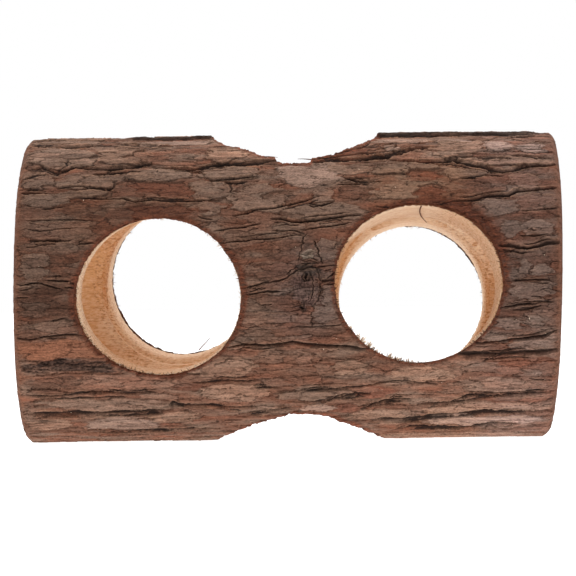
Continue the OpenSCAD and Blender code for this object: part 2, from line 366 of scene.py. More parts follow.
def read_features():
    """Furrows and flakes as places on the log; the far side, which the photograph hides, gets its own in the same manner."""
    rng = np.random.default_rng(1847)
    lines, flakes = [], []
    for k, text in FURROWS:
        pts = np.array([from_photo(*map(float, p.split(","))) for p in text.split()])
        lines.append((k, pts))
        for _ in range(max(0, k - 1)):
            lines.append(beside(k, pts, rng))
    for kind, x0, x1, y0, y1 in FLAKES:
        xm, ym = (x0 + x1) / 2, (y0 + y1) / 2
        xl, xr = from_photo(x0, ym)[0], from_photo(x1, ym)[0]
        at, ab = from_photo(xm, y0)[1], from_photo(xm, y1)[1]
        tilt = -(from_photo(x1, ym)[1] - from_photo(x0, ym)[1]) * ARC / max(xr - xl, 1e-3)
        flakes.append((kind, (xl + xr) / 2, (at + ab) / 2, (xr - xl) / 2, max((at - ab) / 2 * ARC, 0.8), tilt * 0.0))
    for _ in range(260):
        kind = rng.choice(list("gtprodbk"), p=[0.34, 0.17, 0.07, 0.22, 0.07, 0.06, 0.05, 0.02])
        a = rng.uniform(79, 281)
        flakes.append((kind, rng.uniform(-92, 92), a, rng.uniform(4, 17), rng.uniform(1.4, 4.2), 0.0))
    for _ in range(124):
        k = int(rng.choice([1, 2, 3, 4], p=[0.25, 0.35, 0.27, 0.13]))
        a, x = rng.uniform(82, 278), rng.uniform(-95, 80)
        n = int(rng.integers(4, 10))
        xs = x + np.cumsum(rng.uniform(4, 8.5, n))
        aa = a + np.cumsum(rng.normal(0, 1.1, n)) + rng.normal(0, 0.05) * (xs - x)
        pts = np.stack([xs, aa], 1)
        lines.append((k, pts))
        for _ in range(max(0, k - 1)):
            lines.append(beside(k, pts, rng))
    return lines, flakes


LINES, PATCHES = read_features()


def to_line(x, v, pts):
    """Distance to a line of points, and how far along it, 0 to 1."""
    seg = np.diff(pts, axis=0)
    ln = np.maximum(np.hypot(seg[:, 0], seg[:, 1]), 1e-6)
    cum = np.concatenate([[0], np.cumsum(ln)])
    best = np.full(x.shape, 1e9)
    along = np.zeros(x.shape)
    for (px, pv), (sx, sv), l, c in zip(pts[:-1], seg, ln, cum[:-1]):
        t = np.clip(((x - px) * sx + (v - pv) * sv) / (l * l), 0, 1)
        d = (x - px - t * sx) ** 2 + (v - pv - t * sv) ** 2
        near = d < best
        best = np.where(near, d, best)
        along = np.where(near, (c + t * l) / cum[-1], along)
    return np.sqrt(best), along


def wrap(d):
    return np.mod(d + 180.0, 360.0) - 180.0


def worn_corner(a, r):
    """The saw cuts fall back a little towards the top and the bottom of the log, mm."""
    return 0.60 * smooth(25, 75, np.degrees(np.arcsin(np.clip(np.abs(np.sin(np.radians(a))), 0, 1)))) * (r / 50.0) ** 2


def end_left(a, r=50.0):
    return LEFT_X + r * np.sin(np.radians(a)) * 0.01572 + r * np.cos(np.radians(a)) * 0.03143 + worn_corner(a, r)


def end_right(a, r=50.0):
    return RIGHT_X + r * np.sin(np.radians(a)) * 0.02793 - worn_corner(a, r)


def ragged(a, seed):
    """How far the broken edge of the bark stands back from a saw cut, mm."""
    u = np.full(np.shape(a), 3.3)
    return 0.50 * np.maximum(noise(u, a, 1.0, 2.4, seed, 3) + 0.25, 0) + 0.35 * np.maximum(noise(u, a, 1.0, 9.0, seed + 7), 0)


def bark_left(a):
    return end_left(a) + ragged(a, 81)


def bark_right(a):
    return end_right(a) - ragged(a, 82)


def bark(x, a):
    """Radius in mm and colour of the bark's outer surface, at places along the log and around it."""
    x, a = np.asarray(x, float), np.mod(np.asarray(a, float), 360.0)
    amid = math.degrees(math.atan2(np.sin(np.radians(a)).mean(), np.cos(np.radians(a)).mean()))
    ahalf = float(np.abs(wrap(a - amid)).max())
    wob_v = 0.42 * noise(x, a, 5.5, 3.0, 2) + 0.20 * noise(x, a, 1.6, 1.2, 3) + 0.10 * noise(x, a, 0.7, 0.8, 15)
    wob_x = 1.30 * noise(x, a, 7.0, 1.7, 4) + 0.80 * noise(x, a, 3.0, 0.75, 5)
    grow = 0.26 * noise(x, a, 45, 18, 1, 2) + 0.12 * noise(x, a, 12, 5, 6)
    streak = noise(x, a, 6.0, 0.62, 7, 2)
    mottle = noise(x, a, 1.6, 0.8, 8, 2)
    hue = noise(x, a, 16, 5, 9, 2)

    bend_v = noise(x, a, 11.0, 5.0, 16, 2)
    bend_x = noise(x, a, 9.0, 3.5, 17, 2)
    level = np.zeros_like(x)
    rough = np.ones_like(x)
    rgb = lerp(BROWN, RED, smooth(-0.1, 0.5, hue)[:, None])
    rgb = lerp(rgb, GREY, smooth(0.0, 0.5, -hue)[:, None] * 0.7)
    edge = np.zeros_like(x)
    crust = np.zeros_like(x)

    # flakes, the later ones over the earlier; lines are wider where the bark turns up and down. A flake's dark outline
    # is painted shadow, strongest under the lower edge of a raised flake and inside the upper edge of a sunk one.
    aw = wrap(a)
    turned = np.where(np.abs(aw) < 100, np.clip(1 / np.maximum(np.cos(np.radians(aw)), 0.3), 1, 1.95), 1.3)
    raised_lip_highlight = np.zeros_like(x)
    for i, (kind, cx, ca, hx, hv, tilt) in enumerate(PATCHES):
        if abs(wrap(ca - amid)) * ARC > ahalf * ARC + hv * 1.5 + 2.0:
            continue
        dv = wrap(a - ca) * ARC
        sel = np.flatnonzero((np.abs(x - cx) < hx * 1.3 + 4.5) & (np.abs(dv) < hv * 1.5 + 1.8))
        if not sel.size:
            continue
        layer = np.floor((dv[sel] + 0.9 * wob_v[sel]) / 1.1).astype(np.int64)
        jag = unit(mix32(layer, np.full(layer.shape, i, np.int64), 91)) - 0.5
        px = (x[sel] - cx + min(1.3, 0.3 * hx) * wob_x[sel] + min(2.4, 0.35 * hx) * jag) / hx + 0.24 * bend_x[sel]
        pv = (dv[sel] + min(1.0, 0.6 * hv) * wob_v[sel]) / hv + 0.42 * bend_v[sel]
        q = (np.abs(px) ** 5 + np.abs(pv) ** 5) ** 0.2
        cut = np.array([0.5 + 0.34 * (0.5 + 0.5 * math.sin(i * 5.17 + c * 2.71)) for c in range(4)])
        if kind != "s":
            q = np.maximum(q, (np.abs(px) + np.abs(pv)) * cut[(px > 0) * 2 + (pv > 0)])
        dist = (q - 1) * np.where(np.abs(pv) > np.abs(px), hv, min(hx, 3 * hv))
        m = smooth(0.10, -0.10, dist)
        lift = LEVEL[kind] + 0.15 * math.sin(i * 12.9898)
        tone = 1.0 + 0.11 * math.sin(i * 78.233)
        level[sel] = lerp(level[sel], lift, m)
        rough[sel] = lerp(rough[sel], ROUGH[kind], m)
        crust[sel] = lerp(crust[sel], 1.0 if kind == "k" else 0.0, m)
        rgb[sel] = lerp(rgb[sel], KIND[kind] * tone, (m * WEIGHT.get(kind, 0.80) * np.clip((1.2 if kind in "swhx" else 0.95) + 0.5 * hue[sel], 0.4, 1))[:, None])
        # painted shadow along the flake's outline, heavier on its lower side; painted highlight on a raised flake's
        # upper lip
        high = smooth(-0.5, 0.5, pv)
        if LEVEL[kind] > 0:
            line = np.exp(-((dist - 0.10) / (0.17 * turned[sel])) ** 2) * (0.95 - 0.60 * high)
            raised_lip_highlight[sel] = np.maximum(raised_lip_highlight[sel] * (1 - m), np.exp(-((dist + 0.28 * turned[sel]) / (0.20 * turned[sel])) ** 2) * (0.20 + 0.40 * high))
        else:
            line = np.exp(-((dist + 0.12) / (0.20 * turned[sel])) ** 2) * (0.15 + 0.45 * high)
        edge[sel] = np.maximum(edge[sel] * (1 - m), line)

    # smaller flakes inside them
    b1, b2, bn, bo = cells(x + 1.5 * wob_x, a + 1.1 * wob_v / ARC, 9.5, 2.7, 40)
    c1, c2, cn, co = cells(x + 0.9 * wob_x, a + 0.7 * wob_v / ARC, 3.2, 1.15, 41)
    br, cr = rand_of(bn, 1), rand_of(cn, 1)
    level = level + rough * ((br - 0.5) * 0.36 + bo * 0.20 + (cr - 0.5) * 0.22 + co * 0.12)
    crack_b = smooth(0.075, 0.01, b2 - b1) * smooth(-0.20, 0.12, noise(x, a, 9, 3, 42))
    crack_c = smooth(0.10, 0.02, c2 - c1) * smooth(-0.05, 0.30, noise(x, a, 6, 2, 43))
    bh = rand_of(bn, 2)
    rgb = lerp(rgb, GREY, (smooth(0.66, 0.74, bh) * 0.30 * np.minimum(rough, 1))[:, None])
    rgb = lerp(rgb, RED, (smooth(0.30, 0.22, bh) * 0.20 * np.minimum(rough, 1))[:, None])
    calm = 0.45 + 0.55 * np.minimum(rough, 1)
    tone = 1.0 + rough * (0.26 * (rand_of(bn, 3) - 0.5) + 0.22 * (rand_of(cn, 3) - 0.5)) + calm * (0.12 * streak + 0.18 * mottle + 0.14 * noise(x, a, 0.9, 0.75, 18))
    fine = 0.07 * streak + 0.06 * mottle + 0.06 * noise(x, a, 0.8, 0.55, 10)
    flecks = noise(x, a, 1.0, 0.62, 60, 2)
    tone = tone + 1.1 * crust * flecks + 0.55 * smooth(0.42, 0.28, rough) * noise(x, a, 9.0, 0.45, 59, 2)
    level = level + 0.35 * crust * flecks
    rgb = lerp(rgb, DARK_CRUST_AND_SHADE, (0.7 * crust * smooth(0.02, 0.22, noise(x, a, 4.0, 0.9, 61, 2)))[:, None])

    # furrows
    graze = smooth(38, 60, np.abs(aw)) * smooth(118, 100, np.abs(aw))
    slab = noise(x, a, 30, 2.8, 51, 2)
    layers = smooth(0.080, 0.02, np.abs(slab)) * graze * smooth(-0.15, 0.25, noise(x, a, 14, 5, 52))
    tone = tone + (0.65 * slab + 0.15 * streak + 0.28 * noise(x, a, 5, 1.6, 57, 2)) * graze * np.where(aw < 0, 0.45, 1.0)
    rear = smooth(96, 116, np.abs(aw))
    outer = smooth(26, 44, np.abs(aw)) * smooth(118, 100, np.abs(aw)) * np.where(aw < 0, 0.6, 1.0)
    kd = np.hypot((x - KNOT_X - 0.2) / 4.8, (wrap(a - KNOT_A) * ARC + 1.2) / 6.6)
    faint = (1 - 0.20 * smooth(32, 14, np.abs(aw))) * (1 - 0.30 * smooth(1.9, 1.1, kd))
    depth = np.zeros_like(x)
    dark = np.zeros_like(x)
    wide = 1.0 + 0.42 * noise(x, a, 6.5, 40, 44) + 0.28 * noise(x, a, 1.7, 3, 45)
    for k, pts in LINES:
        am = pts[:, 1].mean()
        v = wrap(a - am) * ARC
        pv = np.stack([pts[:, 0], wrap(pts[:, 1] - am) * ARC], 1)
        lo, hi = pv.min(0) - 3.5, pv.max(0) + 3.5
        if wrap(amid - am) * ARC - ahalf * ARC > hi[1] or wrap(amid - am) * ARC + ahalf * ARC < lo[1]:
            continue
        sel = np.flatnonzero((x > lo[0]) & (x < hi[0]) & (v > lo[1]) & (v < hi[1]))
        if not sel.size:
            continue
        d, s = to_line(x[sel] + 0.4 * wob_x[sel], v[sel] + 0.6 * wob_v[sel], pv)
        t = np.clip(np.minimum(s, 1 - s) / 0.14, 0, 1) ** 0.6
        w = FURROW_W[k] * (0.35 + 0.65 * t) * np.maximum(wide[sel], 0.35)
        w = w * (1 - 0.25 * smooth(30, 14, np.abs(aw[sel]))) * turned[sel]
        depth[sel] = np.maximum(depth[sel], FURROW_D[k] * (0.3 + 0.7 * t) * np.clip(1.25 - d / (1.35 * w), 0, 1))
        dark[sel] = np.maximum(dark[sel], (0.45 + 0.55 * t) * smooth(1.30, 0.65, d / w))
        # raised lips beside the furrow, later painted pale as a highlight
        raised_lip_highlight[sel] = np.maximum(raised_lip_highlight[sel], t * np.exp(-((d - 1.9 * w - 0.15) / (0.4 * w + 0.12)) ** 2) * (0.4 + 0.15 * k))

    # torn edges: rims of the holes and the sawn ends
    y, z = -51.0 * np.cos(np.radians(a)), 51.0 * np.sin(np.radians(a))
    torn = np.zeros_like(x)
    sunk = np.zeros_like(x)
    gloom = np.zeros_like(x)
    fresh = np.zeros_like(x)
    for name in ("left", "right", "mid"):
        d, t, along = hole_coords(name, x, y, z)
        for side in (-1, 1):
            on = np.flatnonzero((along * side > 20) & (d < MID_R + 10))
            if not on.size:
                continue
            f = d[on] - hole_r(name, t[on], side) - setback(name, side, t[on]) + 0.9 * wob_v[on] + 0.25 * streak[on]
            here = smooth(1.7, 0.6, f / torn_width(name, side, t[on]))
            torn[on] = np.maximum(torn[on], here)
            if name == "right" and side < 0:
                gloom[on] = here * bump(t[on], 50, 36)
            if name == "mid":
                fresh[on] = here * (0.55 if side < 0 else 0.35)
            sunk[on] = np.maximum(sunk[on], here * (0.15 if name == "mid" else 0.75))
    e = np.minimum(x - bark_left(a), bark_right(a) - x)
    worn = np.exp(-np.maximum(e - 1.2 + 0.9 * wob_v, 0) / 0.9)

    r = 51.12 + grow + level + fine + 0.22 * raised_lip_highlight - depth - 0.30 * crack_b - 0.18 * crack_c - 0.35 * layers - 0.9 * sunk * (1 + 0.5 * mottle + 0.3 * streak)
    r = r + 0.50 * smooth(42, 30, np.abs(wrap(a - 90))) - 0.55 * smooth(55, 88, x) * smooth(40, 10, np.abs(wrap(a - 90)))
    r = r + 0.55 * smooth(34, 16, np.abs(wrap(a - 270)))
    row = np.floor(aw * ARC / 1.3 + 0.9 * wob_v).astype(np.int64)
    stray = unit(mix32(row, np.zeros_like(row), 92)) * np.where(x < 0, 4.0, 6.0)
    ridge = np.zeros_like(x)
    for x0, x1 in ((-55.0, -22.0), (26.0, 87.0)):
        ridge = np.maximum(ridge, smooth(x0, x0 + 4, x + wob_x - stray) * smooth(x1, x1 - 4, x + wob_x + 0.6 * stray))
    ledge = np.where(x < 0, 82.2, 80.6) + 1.0 * noise(x, a, 12, 60, 53) + 0.5 * noise(x, a, 3, 60, 58)
    past = aw + 0.7 * wob_v - ledge
    up = smooth(-0.4, 0.4, past)
    r = r + ridge * (0.42 * up * smooth(112, 96, aw) - 0.50 * (1 - up) * smooth(62, 77, aw))
    # a dark band on the raised ledge at the top, from its step upwards: painted shade on the ledge's wall
    crest_shade = ridge * smooth(-1.7, -0.7, past) * smooth(6.0, 3.2, past + 1.4 * noise(x, a, 8, 30, 55)) * np.clip(0.98 + 0.5 * noise(x, a, 16, 1.0, 56, 2), 0.4, 1)
    part = np.clip(np.maximum(e, 0) * (1 + 0.25 * noise(x, a, 3, 3.5, 46)) / 4.6, 0, 1)
    r = np.minimum(r, 49.3 + 3.1 * np.sqrt(part * (2 - part)) ** 1.5 + 0.16 * noise(x, a, 2, 2, 47))
    r = np.clip(r, 49.72, 52.35 + 0.35 * ridge)
    r = np.where(e < 0.6, np.minimum(r, 49.4 + 1.6 * np.maximum(e, 0)), r)
    under = np.sin(np.radians(a))
    r = np.where(under < -0.9, np.minimum(r, AXIS_Z / np.maximum(-under, 0.9) - 0.01), r)

    tone = tone + 0.6 * smooth(1.9, 0.8, kd) * noise(x, a, 0.7, 0.7, 49, 2) + 0.7 * smooth(1.4, 0.9, kd) * noise(x, a, 0.6, 2.6, 54, 2) + 0.18 * smooth(40, 15, np.abs(aw)) * noise(x, a, 0.8, 0.7, 50)
    # painted light: brighter towards the underside and the top and darker at the front, as the bark looks lit from
    # above and from the floor; the smaller terms raise or lower the tone in patches along the log
    side_light_and_tone = (1 + 0.26 * smooth(-5, -34, aw) * smooth(-140, -100, aw) + 0.25 * smooth(-58, -78, aw) * smooth(-140, -100, aw)
                 + 0.03 * outer - 0.06 * smooth(24, 8, np.abs(aw)) + 0.10 * smooth(48, 75, aw) * smooth(140, 110, aw)
                 + smooth(-40, -60, aw) * smooth(-140, -100, aw) * (0.17 * smooth(5, 28, x) * (1 - 0.5 * smooth(56, 70, x)) + 0.06 * smooth(-58, -50, x) * smooth(-24, -32, x))
                 + 0.06 * smooth(30, 50, x) * smooth(50, 62, aw) * smooth(140, 110, aw)
                 - 0.08 * smooth(-36, -30, x) * smooth(-8, -16, x) * smooth(-3, -10, aw) * smooth(-36, -30, aw)
                 + 0.06 * smooth(6, 12, x) * smooth(28, 20, x) * (smooth(16, 22, aw) * smooth(40, 32, aw) + smooth(0, -6, aw) * smooth(-24, -16, aw))
                 - 0.07 * smooth(-28, -46, x) * smooth(20, 30, aw) * smooth(48, 40, aw)
                 + 0.07 * np.exp(-((aw - 60) / 10) ** 2) + 0.06 * np.exp(-((aw + 18) / 7) ** 2))
    side_light_and_tone = side_light_and_tone * (1 - 0.15 * smooth(-22, -48, x) * smooth(-18, -6, aw) * smooth(48, 34, aw)) * (1 + 0.15 * smooth(30, 52, x) * smooth(-10, -26, aw) * smooth(-140, -100, aw))
    rgb = rgb * (np.clip(tone, 0.45, 1.8) * side_light_and_tone)[:, None]
    cool = np.maximum(smooth(3.6, 1.6, kd), 0.9 * smooth(54, 72, x) * smooth(125, 95, np.abs(aw)))
    rgb = rgb * (1 + cool[:, None] * np.array([-0.06, 0.0, 0.11]))
    warm = smooth(24, 34, x) * smooth(66, 54, x) * smooth(18, 26, aw) * smooth(54, 46, aw)
    rgb = rgb * (1 + warm[:, None] * np.array([0.13, 0.04, -0.07]))
    warm = smooth(-76, -66, x) * smooth(-22, -34, x) * smooth(14, 21, aw) * smooth(46, 38, aw)
    rgb = rgb * (1 + warm[:, None] * np.array([0.0, -0.05, -0.10]))
    # painted highlight: the raised lips turn tan
    rgb = lerp(rgb, LIP_HIGHLIGHT_TAN * (1 + 0.3 * mottle)[:, None], (np.clip(raised_lip_highlight * (0.5 + 0.8 * streak), 0, 1) * (0.55 + 0.30 * outer))[:, None])
    rgb = lerp(rgb, TORN * (np.clip(0.95 + 0.8 * mottle + 0.5 * streak, 0.3, 2) * (1 - 0.28 * gloom) * (1 + fresh))[:, None], (np.clip(torn, 0, 1) * np.clip(0.80 + 0.6 * mottle + 0.3 * gloom, 0.3, 1.0))[:, None])
    rgb = lerp(rgb, lin(124, 80, 59) * (1 + 0.35 * mottle + 0.2 * streak)[:, None], (worn * 0.6)[:, None])
    # painted shade: furrows (lighter on the front and at the knot), the crest, cracks, lamella lines and flake outlines
    # darken towards the darkest colour
    shade = np.clip(np.maximum.reduce([dark * faint, 0.94 * crest_shade, (0.60 + 0.25 * rear + 0.20 * outer) * crack_b, (0.40 + 0.18 * outer) * crack_c * calm, 0.75 * layers, edge * (0.62 + 0.30 * rear + 0.22 * outer + 0.6 * mottle)]), 0, 1)
    rgb = lerp(rgb, DARK_CRUST_AND_SHADE, (0.94 * shade)[:, None])
    return r, np.clip(rgb, 0.004, 0.9)


# ---------------------------------------------------------------- meshes
def mesh_of(name, verts_mm, faces):
    me = bpy.data.meshes.new(name)
    v = np.asarray(verts_mm, np.float64) * 0.001
    sizes = [f.shape[1] for f in faces for _ in range(f.shape[0])]
    flat = np.concatenate([f.reshape(-1) for f in faces]).astype(np.int32)
    starts = np.concatenate([[0], np.cumsum(sizes)[:-1]]).astype(np.int32)
    me.vertices.add(len(v))
    me.vertices.foreach_set("co", v.astype(np.float32).reshape(-1))
    me.loops.add(len(flat))
    me.loops.foreach_set("vertex_index", flat)
    me.polygons.add(len(starts))
    me.polygons.foreach_set("loop_start", starts)
    me.update(calc_edges=True)
    me.validate()
    return me


def link(name, me):
    o = bpy.data.objects.new(name, me)
    bpy.context.scene.collection.objects.link(o)
    return o


def volume(v, faces):
    total = 0.0
    for f in faces:
        for k in range(1, f.shape[1] - 1):
            total += np.einsum("ij,ij->i", v[f[:, 0]], np.cross(v[f[:, k]], v[f[:, k + 1]])).sum()
    return total


def tube(grid):
    """A closed solid from rings of points, with a cap at each end."""
    nt, nf = grid.shape[:2]
    v = np.concatenate([grid.reshape(-1, 3), grid[0].mean(0)[None], grid[-1].mean(0)[None]])
    i = np.arange(nt - 1)[:, None] * nf
    j = np.arange(nf)[None]
    k = (j + 1) % nf
    quads = np.stack([i + j, i + k, i + nf + k, i + nf + j], -1).reshape(-1, 4)
    j, k = j[0], k[0]
    caps = np.concatenate([np.stack([np.full(nf, nt * nf), k, j], 1),
                           np.stack([np.full(nf, nt * nf + 1), (nt - 1) * nf + j, (nt - 1) * nf + k], 1)])
    faces = [quads, caps]
    if volume(v, faces) < 0:
        faces = [f[:, ::-1] for f in faces]
    return v, faces


def joined(solids):
    verts, faces, n = [], [], 0
    for v, fs in solids:
        verts.append(v)
        faces += [f + n for f in fs]
        n += len(v)
    return np.concatenate(verts), faces


def carve(obj, cutter, op="DIFFERENCE"):
    m = obj.modifiers.new("carve", "BOOLEAN")
    m.operation, m.solver, m.object = op, "MANIFOLD", cutter
    dg = bpy.context.evaluated_depsgraph_get()
    me = bpy.data.meshes.new_from_object(obj.evaluated_get(dg))
    obj.modifiers.clear()
    old = obj.data
    me.name = old.name
    obj.data = me
    bpy.data.meshes.remove(old)


def drop(obj):
    me = obj.data
    bpy.data.objects.remove(obj)
    bpy.data.meshes.remove(me)


def coords(me):
    v = np.empty(len(me.vertices) * 3, np.float32)
    me.vertices.foreach_get("co", v)
    return v.reshape(-1, 3).astype(np.float64) * 1000.0


def polar(v):
    """x, degrees around the log, distance from its axis."""
    y, z = v[:, 1], v[:, 2] - AXIS_Z
    return v[:, 0], np.degrees(np.arctan2(z, -y)), np.hypot(y, z)


def around(x, a, r):
    t = np.radians(a)
    return np.stack([x, -r * np.cos(t), AXIS_Z + r * np.sin(t)], -1)


def tint(me, rgb, name="tint"):
    at = me.attributes.new(name, "FLOAT_COLOR", "POINT")
    full = np.concatenate([rgb, np.ones((len(rgb), 1))], 1).astype(np.float32)
    at.data.foreach_set("color", full.reshape(-1))


def shade(me, angle):
    me.shade_smooth()
    me.set_sharp_from_angle(angle=math.radians(angle))


def hole_solid(name, ts, nf, radius):
    """A closed solid along a hole; radius(t, f) for positions t along it and angles f around it."""
    o, ex, ey, ez = hole_frame(name)
    o = o + np.array([0, 0, AXIS_Z])
    f = np.linspace(0, 2 * math.pi, nf, endpoint=False)
    t, f = np.meshgrid(ts, f, indexing="ij")
    r = radius(t.ravel(), f.ravel()).reshape(t.shape)
    grid = o + t[..., None] * ez + (r * np.cos(f))[..., None] * ex + (r * np.sin(f))[..., None] * ey
    return tube(grid)


HOLES = ("left", "right", "mid")


def bark_cutter():
    """What is torn out of the outer bark at the holes, ragged and opening outwards."""
    solids = []
    for name in HOLES:
        for side in (-1, 1):
            def radius(t, f, side=side, name=name):
                r0 = hole_r(name, f, side)
                below = np.sqrt(np.maximum(51.0 ** 2 - (r0 * np.sin(f)) ** 2, 1)) - np.abs(t)
                return r0 + setback(name, side, f) + np.clip(0.30 * (0.9 - below), -0.35, 1.0) + 0.16 * gnoise(t / 0.7, f * 26 / 0.8, 10 ** 6, 300)
            ts = side * np.concatenate([[36.0], np.arange(38.5, 56.0, 0.4), [62.0]])
            solids.append(hole_solid(name, ts, 640, radius))
    return link("bark_cutter", mesh_of("bark_cutter", *joined(solids)))


KNOT_DIR = np.array([0.0, -math.cos(math.radians(KNOT_A)), math.sin(math.radians(KNOT_A))])


KNOT_O = np.array([KNOT_X, 0, AXIS_Z])
KNOT_EX = np.array([1.0, 0, 0])
KNOT_EY = np.cross(KNOT_DIR, KNOT_EX)
if KNOT_EY[2] < 0:
    KNOT_EY = -KNOT_EY


def knot_ring(h, f, part=1.0, grow=0.0):
    """Points of the branch's cone at height h, an uneven oval."""
    r = ((2.0 + 2.5 * h / 52.6) * (1 + 0.07 * wave(f, 5, 401) + 0.05 * wave(f, 17, 402) + 0.02 * wave(f, 41, 403)) + grow) * part
    return KNOT_O + np.multiply.outer(h + 0.0 * f, np.ones(3)) * KNOT_DIR + (0.96 * r * np.cos(f))[:, None] * KNOT_EX + (1.06 * r * np.sin(f))[:, None] * KNOT_EY


def knot_solid(grow, top):
    f = np.linspace(0, 2 * math.pi, 240, endpoint=False)
    return tube(np.array([knot_ring(h, f, 1.0, grow) for h in (20.0, 40.0, 48.0, top)]))


# ---------------------------------------------------------------- outer bark, ten strips
STRIPS = ["bark_front", "bark_front_upper", "bark_top_front", "bark_top_rear", "bark_rear_upper", "bark_rear",
          "bark_rear_lower", "bark_bottom_rear", "bark_bottom_front", "bark_front_lower"]
NB = 10
FINE = {0: (760, 170), 1: (640, 150), 2: (720, 130), 8: (720, 130), 9: (690, 150)}


def grid_size(k):
    nx, nv = FINE.get(k, (600, 136))
    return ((nx, nv))


def strip_edge(k, t):
    """Angle of the split between two strips, at parts t of the length; it wanders along the log."""
    k = k % 10
    u = t * 180.0
    return 1.5 * gnoise(u / 24.0, np.full_like(u, k + 0.5), 64, 500 + k) + 0.5 * gnoise(u / 5.0, np.full_like(u, k + 0.5), 64, 540 + k)


def end_wall(up, dn, flip):
    """Triangles between a fine row of points above and a coarse one below."""
    out, m, n, i, j = [], len(up) - 1, len(dn) - 1, 0, 0
    while i < m or j < n:
        if j == n or (i < m and i * n <= j * m):
            out.append((up[i], up[i + 1], dn[j]))
            i += 1
        else:
            out.append((up[i], dn[j + 1], dn[j]))
            j += 1
    out = np.array(out)
    return out[:, ::-1] if flip else out


def bark_strip(k, cutter, knot_cutter):
    NX, NV = grid_size(k)
    t = np.linspace(0, 1, NX)
    a0 = -9.0 + 36.0 * k + strip_edge(k, t)
    a1 = 27.0 + 36.0 * k + strip_edge(k + 1, t)
    s = np.linspace(0, 1, NV)[None]
    a = a0[:, None] * (1 - s) + a1[:, None] * s
    x = bark_left(a) + (bark_right(a) - bark_left(a)) * t[:, None]
    r, _ = bark(x.ravel(), a.ravel())
    top = around(x, a, r.reshape(x.shape))
    sb = np.linspace(0, 1, NB)[None]
    ab = a0[:, None] * (1 - sb) + a1[:, None] * sb
    xb = bark_left(ab) + (bark_right(ab) - bark_left(ab)) * t[:, None]
    low = around(xb, ab, np.full(xb.shape, 49.15))
    v = np.concatenate([top.reshape(-1, 3), low.reshape(-1, 3)])
    up = np.arange(NX * NV).reshape(NX, NV)
    dn = NX * NV + np.arange(NX * NB).reshape(NX, NB)
    q = np.stack([up[:-1, :-1], up[1:, :-1], up[1:, 1:], up[:-1, 1:]], -1).reshape(-1, 4)
    qb = np.stack([dn[:-1, :-1], dn[:-1, 1:], dn[1:, 1:], dn[1:, :-1]], -1).reshape(-1, 4)
    side0 = np.stack([up[:-1, 0], dn[:-1, 0], dn[1:, 0], up[1:, 0]], -1)
    side1 = np.stack([up[:-1, -1], up[1:, -1], dn[1:, -1], dn[:-1, -1]], -1)
    faces = [q, qb, side0, side1, end_wall(up[0], dn[0], False), end_wall(up[-1], dn[-1], True)]
    o = link(STRIPS[k] + "_bark", mesh_of(STRIPS[k] + "_bark", v, faces))
    carve(o, cutter)
    if k == 0:
        carve(o, knot_cutter)
    me = o.data
    x, a, r = polar(coords(me))
    top, rgb = bark(x, a)
    deep = smooth(0.25, 0.9, top - r)
    torn = TORN * (0.9 + 0.35 * noise(x, a, 1.2, 0.8, 48))[:, None] * (1 - 0.35 * smooth(0.8, 2.0, top - r))[:, None]
    tint(me, lerp(rgb, torn, deep[:, None]))
    shade(me, 48)
    return o


# ---------------------------------------------------------------- materials
class Nodes:
    """A material's node tree, with short ways to add nodes."""

    def __init__(self, name):
        self.mat = bpy.data.materials.new(name)
        self.mat.use_nodes = True
        self.t = self.mat.node_tree
        self.t.nodes.clear()
        out = self.t.nodes.new("ShaderNodeOutputMaterial")
        self.bsdf = self.t.nodes.new("ShaderNodeBsdfPrincipled")
        self.t.links.new(self.bsdf.outputs[0], out.inputs[0])

    def put(self, socket, value):
        if hasattr(value, "is_output"):
            self.t.links.new(value, socket)
        else:
            socket.default_value = value

    def add(self, kind, out=0, props=None, **inputs):
        n = self.t.nodes.new("ShaderNode" + kind)
        for k, v in (props or {}).items():
            setattr(n, k, v)
        for k, v in inputs.items():
            key = int(k[1:]) if k[0] == "i" and k[1:].isdigit() else k.replace("_", " ")
            self.put(n.inputs[key], v)
        return n.outputs[out]

    def math(self, op, a, b=0.0, c=0.0):
        return self.add("Math", props={"operation": op}, i0=a, i1=b, i2=c)

    def mix(self, f, a, b, mode="MIX"):
        n = self.t.nodes.new("ShaderNodeMix")
        n.data_type, n.blend_type = "RGBA", mode
        self.put(n.inputs[0], f)
        self.put(n.inputs[6], a)
        self.put(n.inputs[7], b)
        return n.outputs[2]

    def place(self):
        return self.add("TexCoord", out=3)

    def scaled(self, vec, sx, sy, sz):
        return self.add("Mapping", Vector=vec, Scale=(sx, sy, sz))

    def noise(self, vec, scale=1.0, detail=3.0, rough=0.55, warp=0.0):
        return self.add("TexNoise", Vector=vec, Scale=scale, Detail=detail, Roughness=rough, Distortion=warp)

    def ramp(self, f, stops):
        n = self.t.nodes.new("ShaderNodeValToRGB")
        self.put(n.inputs[0], f)
        els = n.color_ramp.elements
        while len(els) < len(stops):
            els.new(0.5)
        for e, (p, c) in zip(els, stops):
            e.position = p
            e.color = (*c, 1.0) if len(c) == 3 else c
        return n.outputs[0]

    def span(self, f, lo, hi, a=0.0, b=1.0):
        return self.add("MapRange", Value=f, From_Min=lo, From_Max=hi, To_Min=a, To_Max=b)

    def bump(self, height, strength, distance):
        return self.add("Bump", Strength=strength, Distance=distance, Height=height)

    def finish(self, color, rough, normal=None, spec=0.25):
        self.put(self.bsdf.inputs["Base Color"], color)
        self.put(self.bsdf.inputs["Roughness"], rough)
        self.put(self.bsdf.inputs["Specular IOR Level"], spec)
        if normal is not None:
            self.put(self.bsdf.inputs["Normal"], normal)
        return self.mat


def c3(rgb):
    return tuple(float(v) for v in rgb)


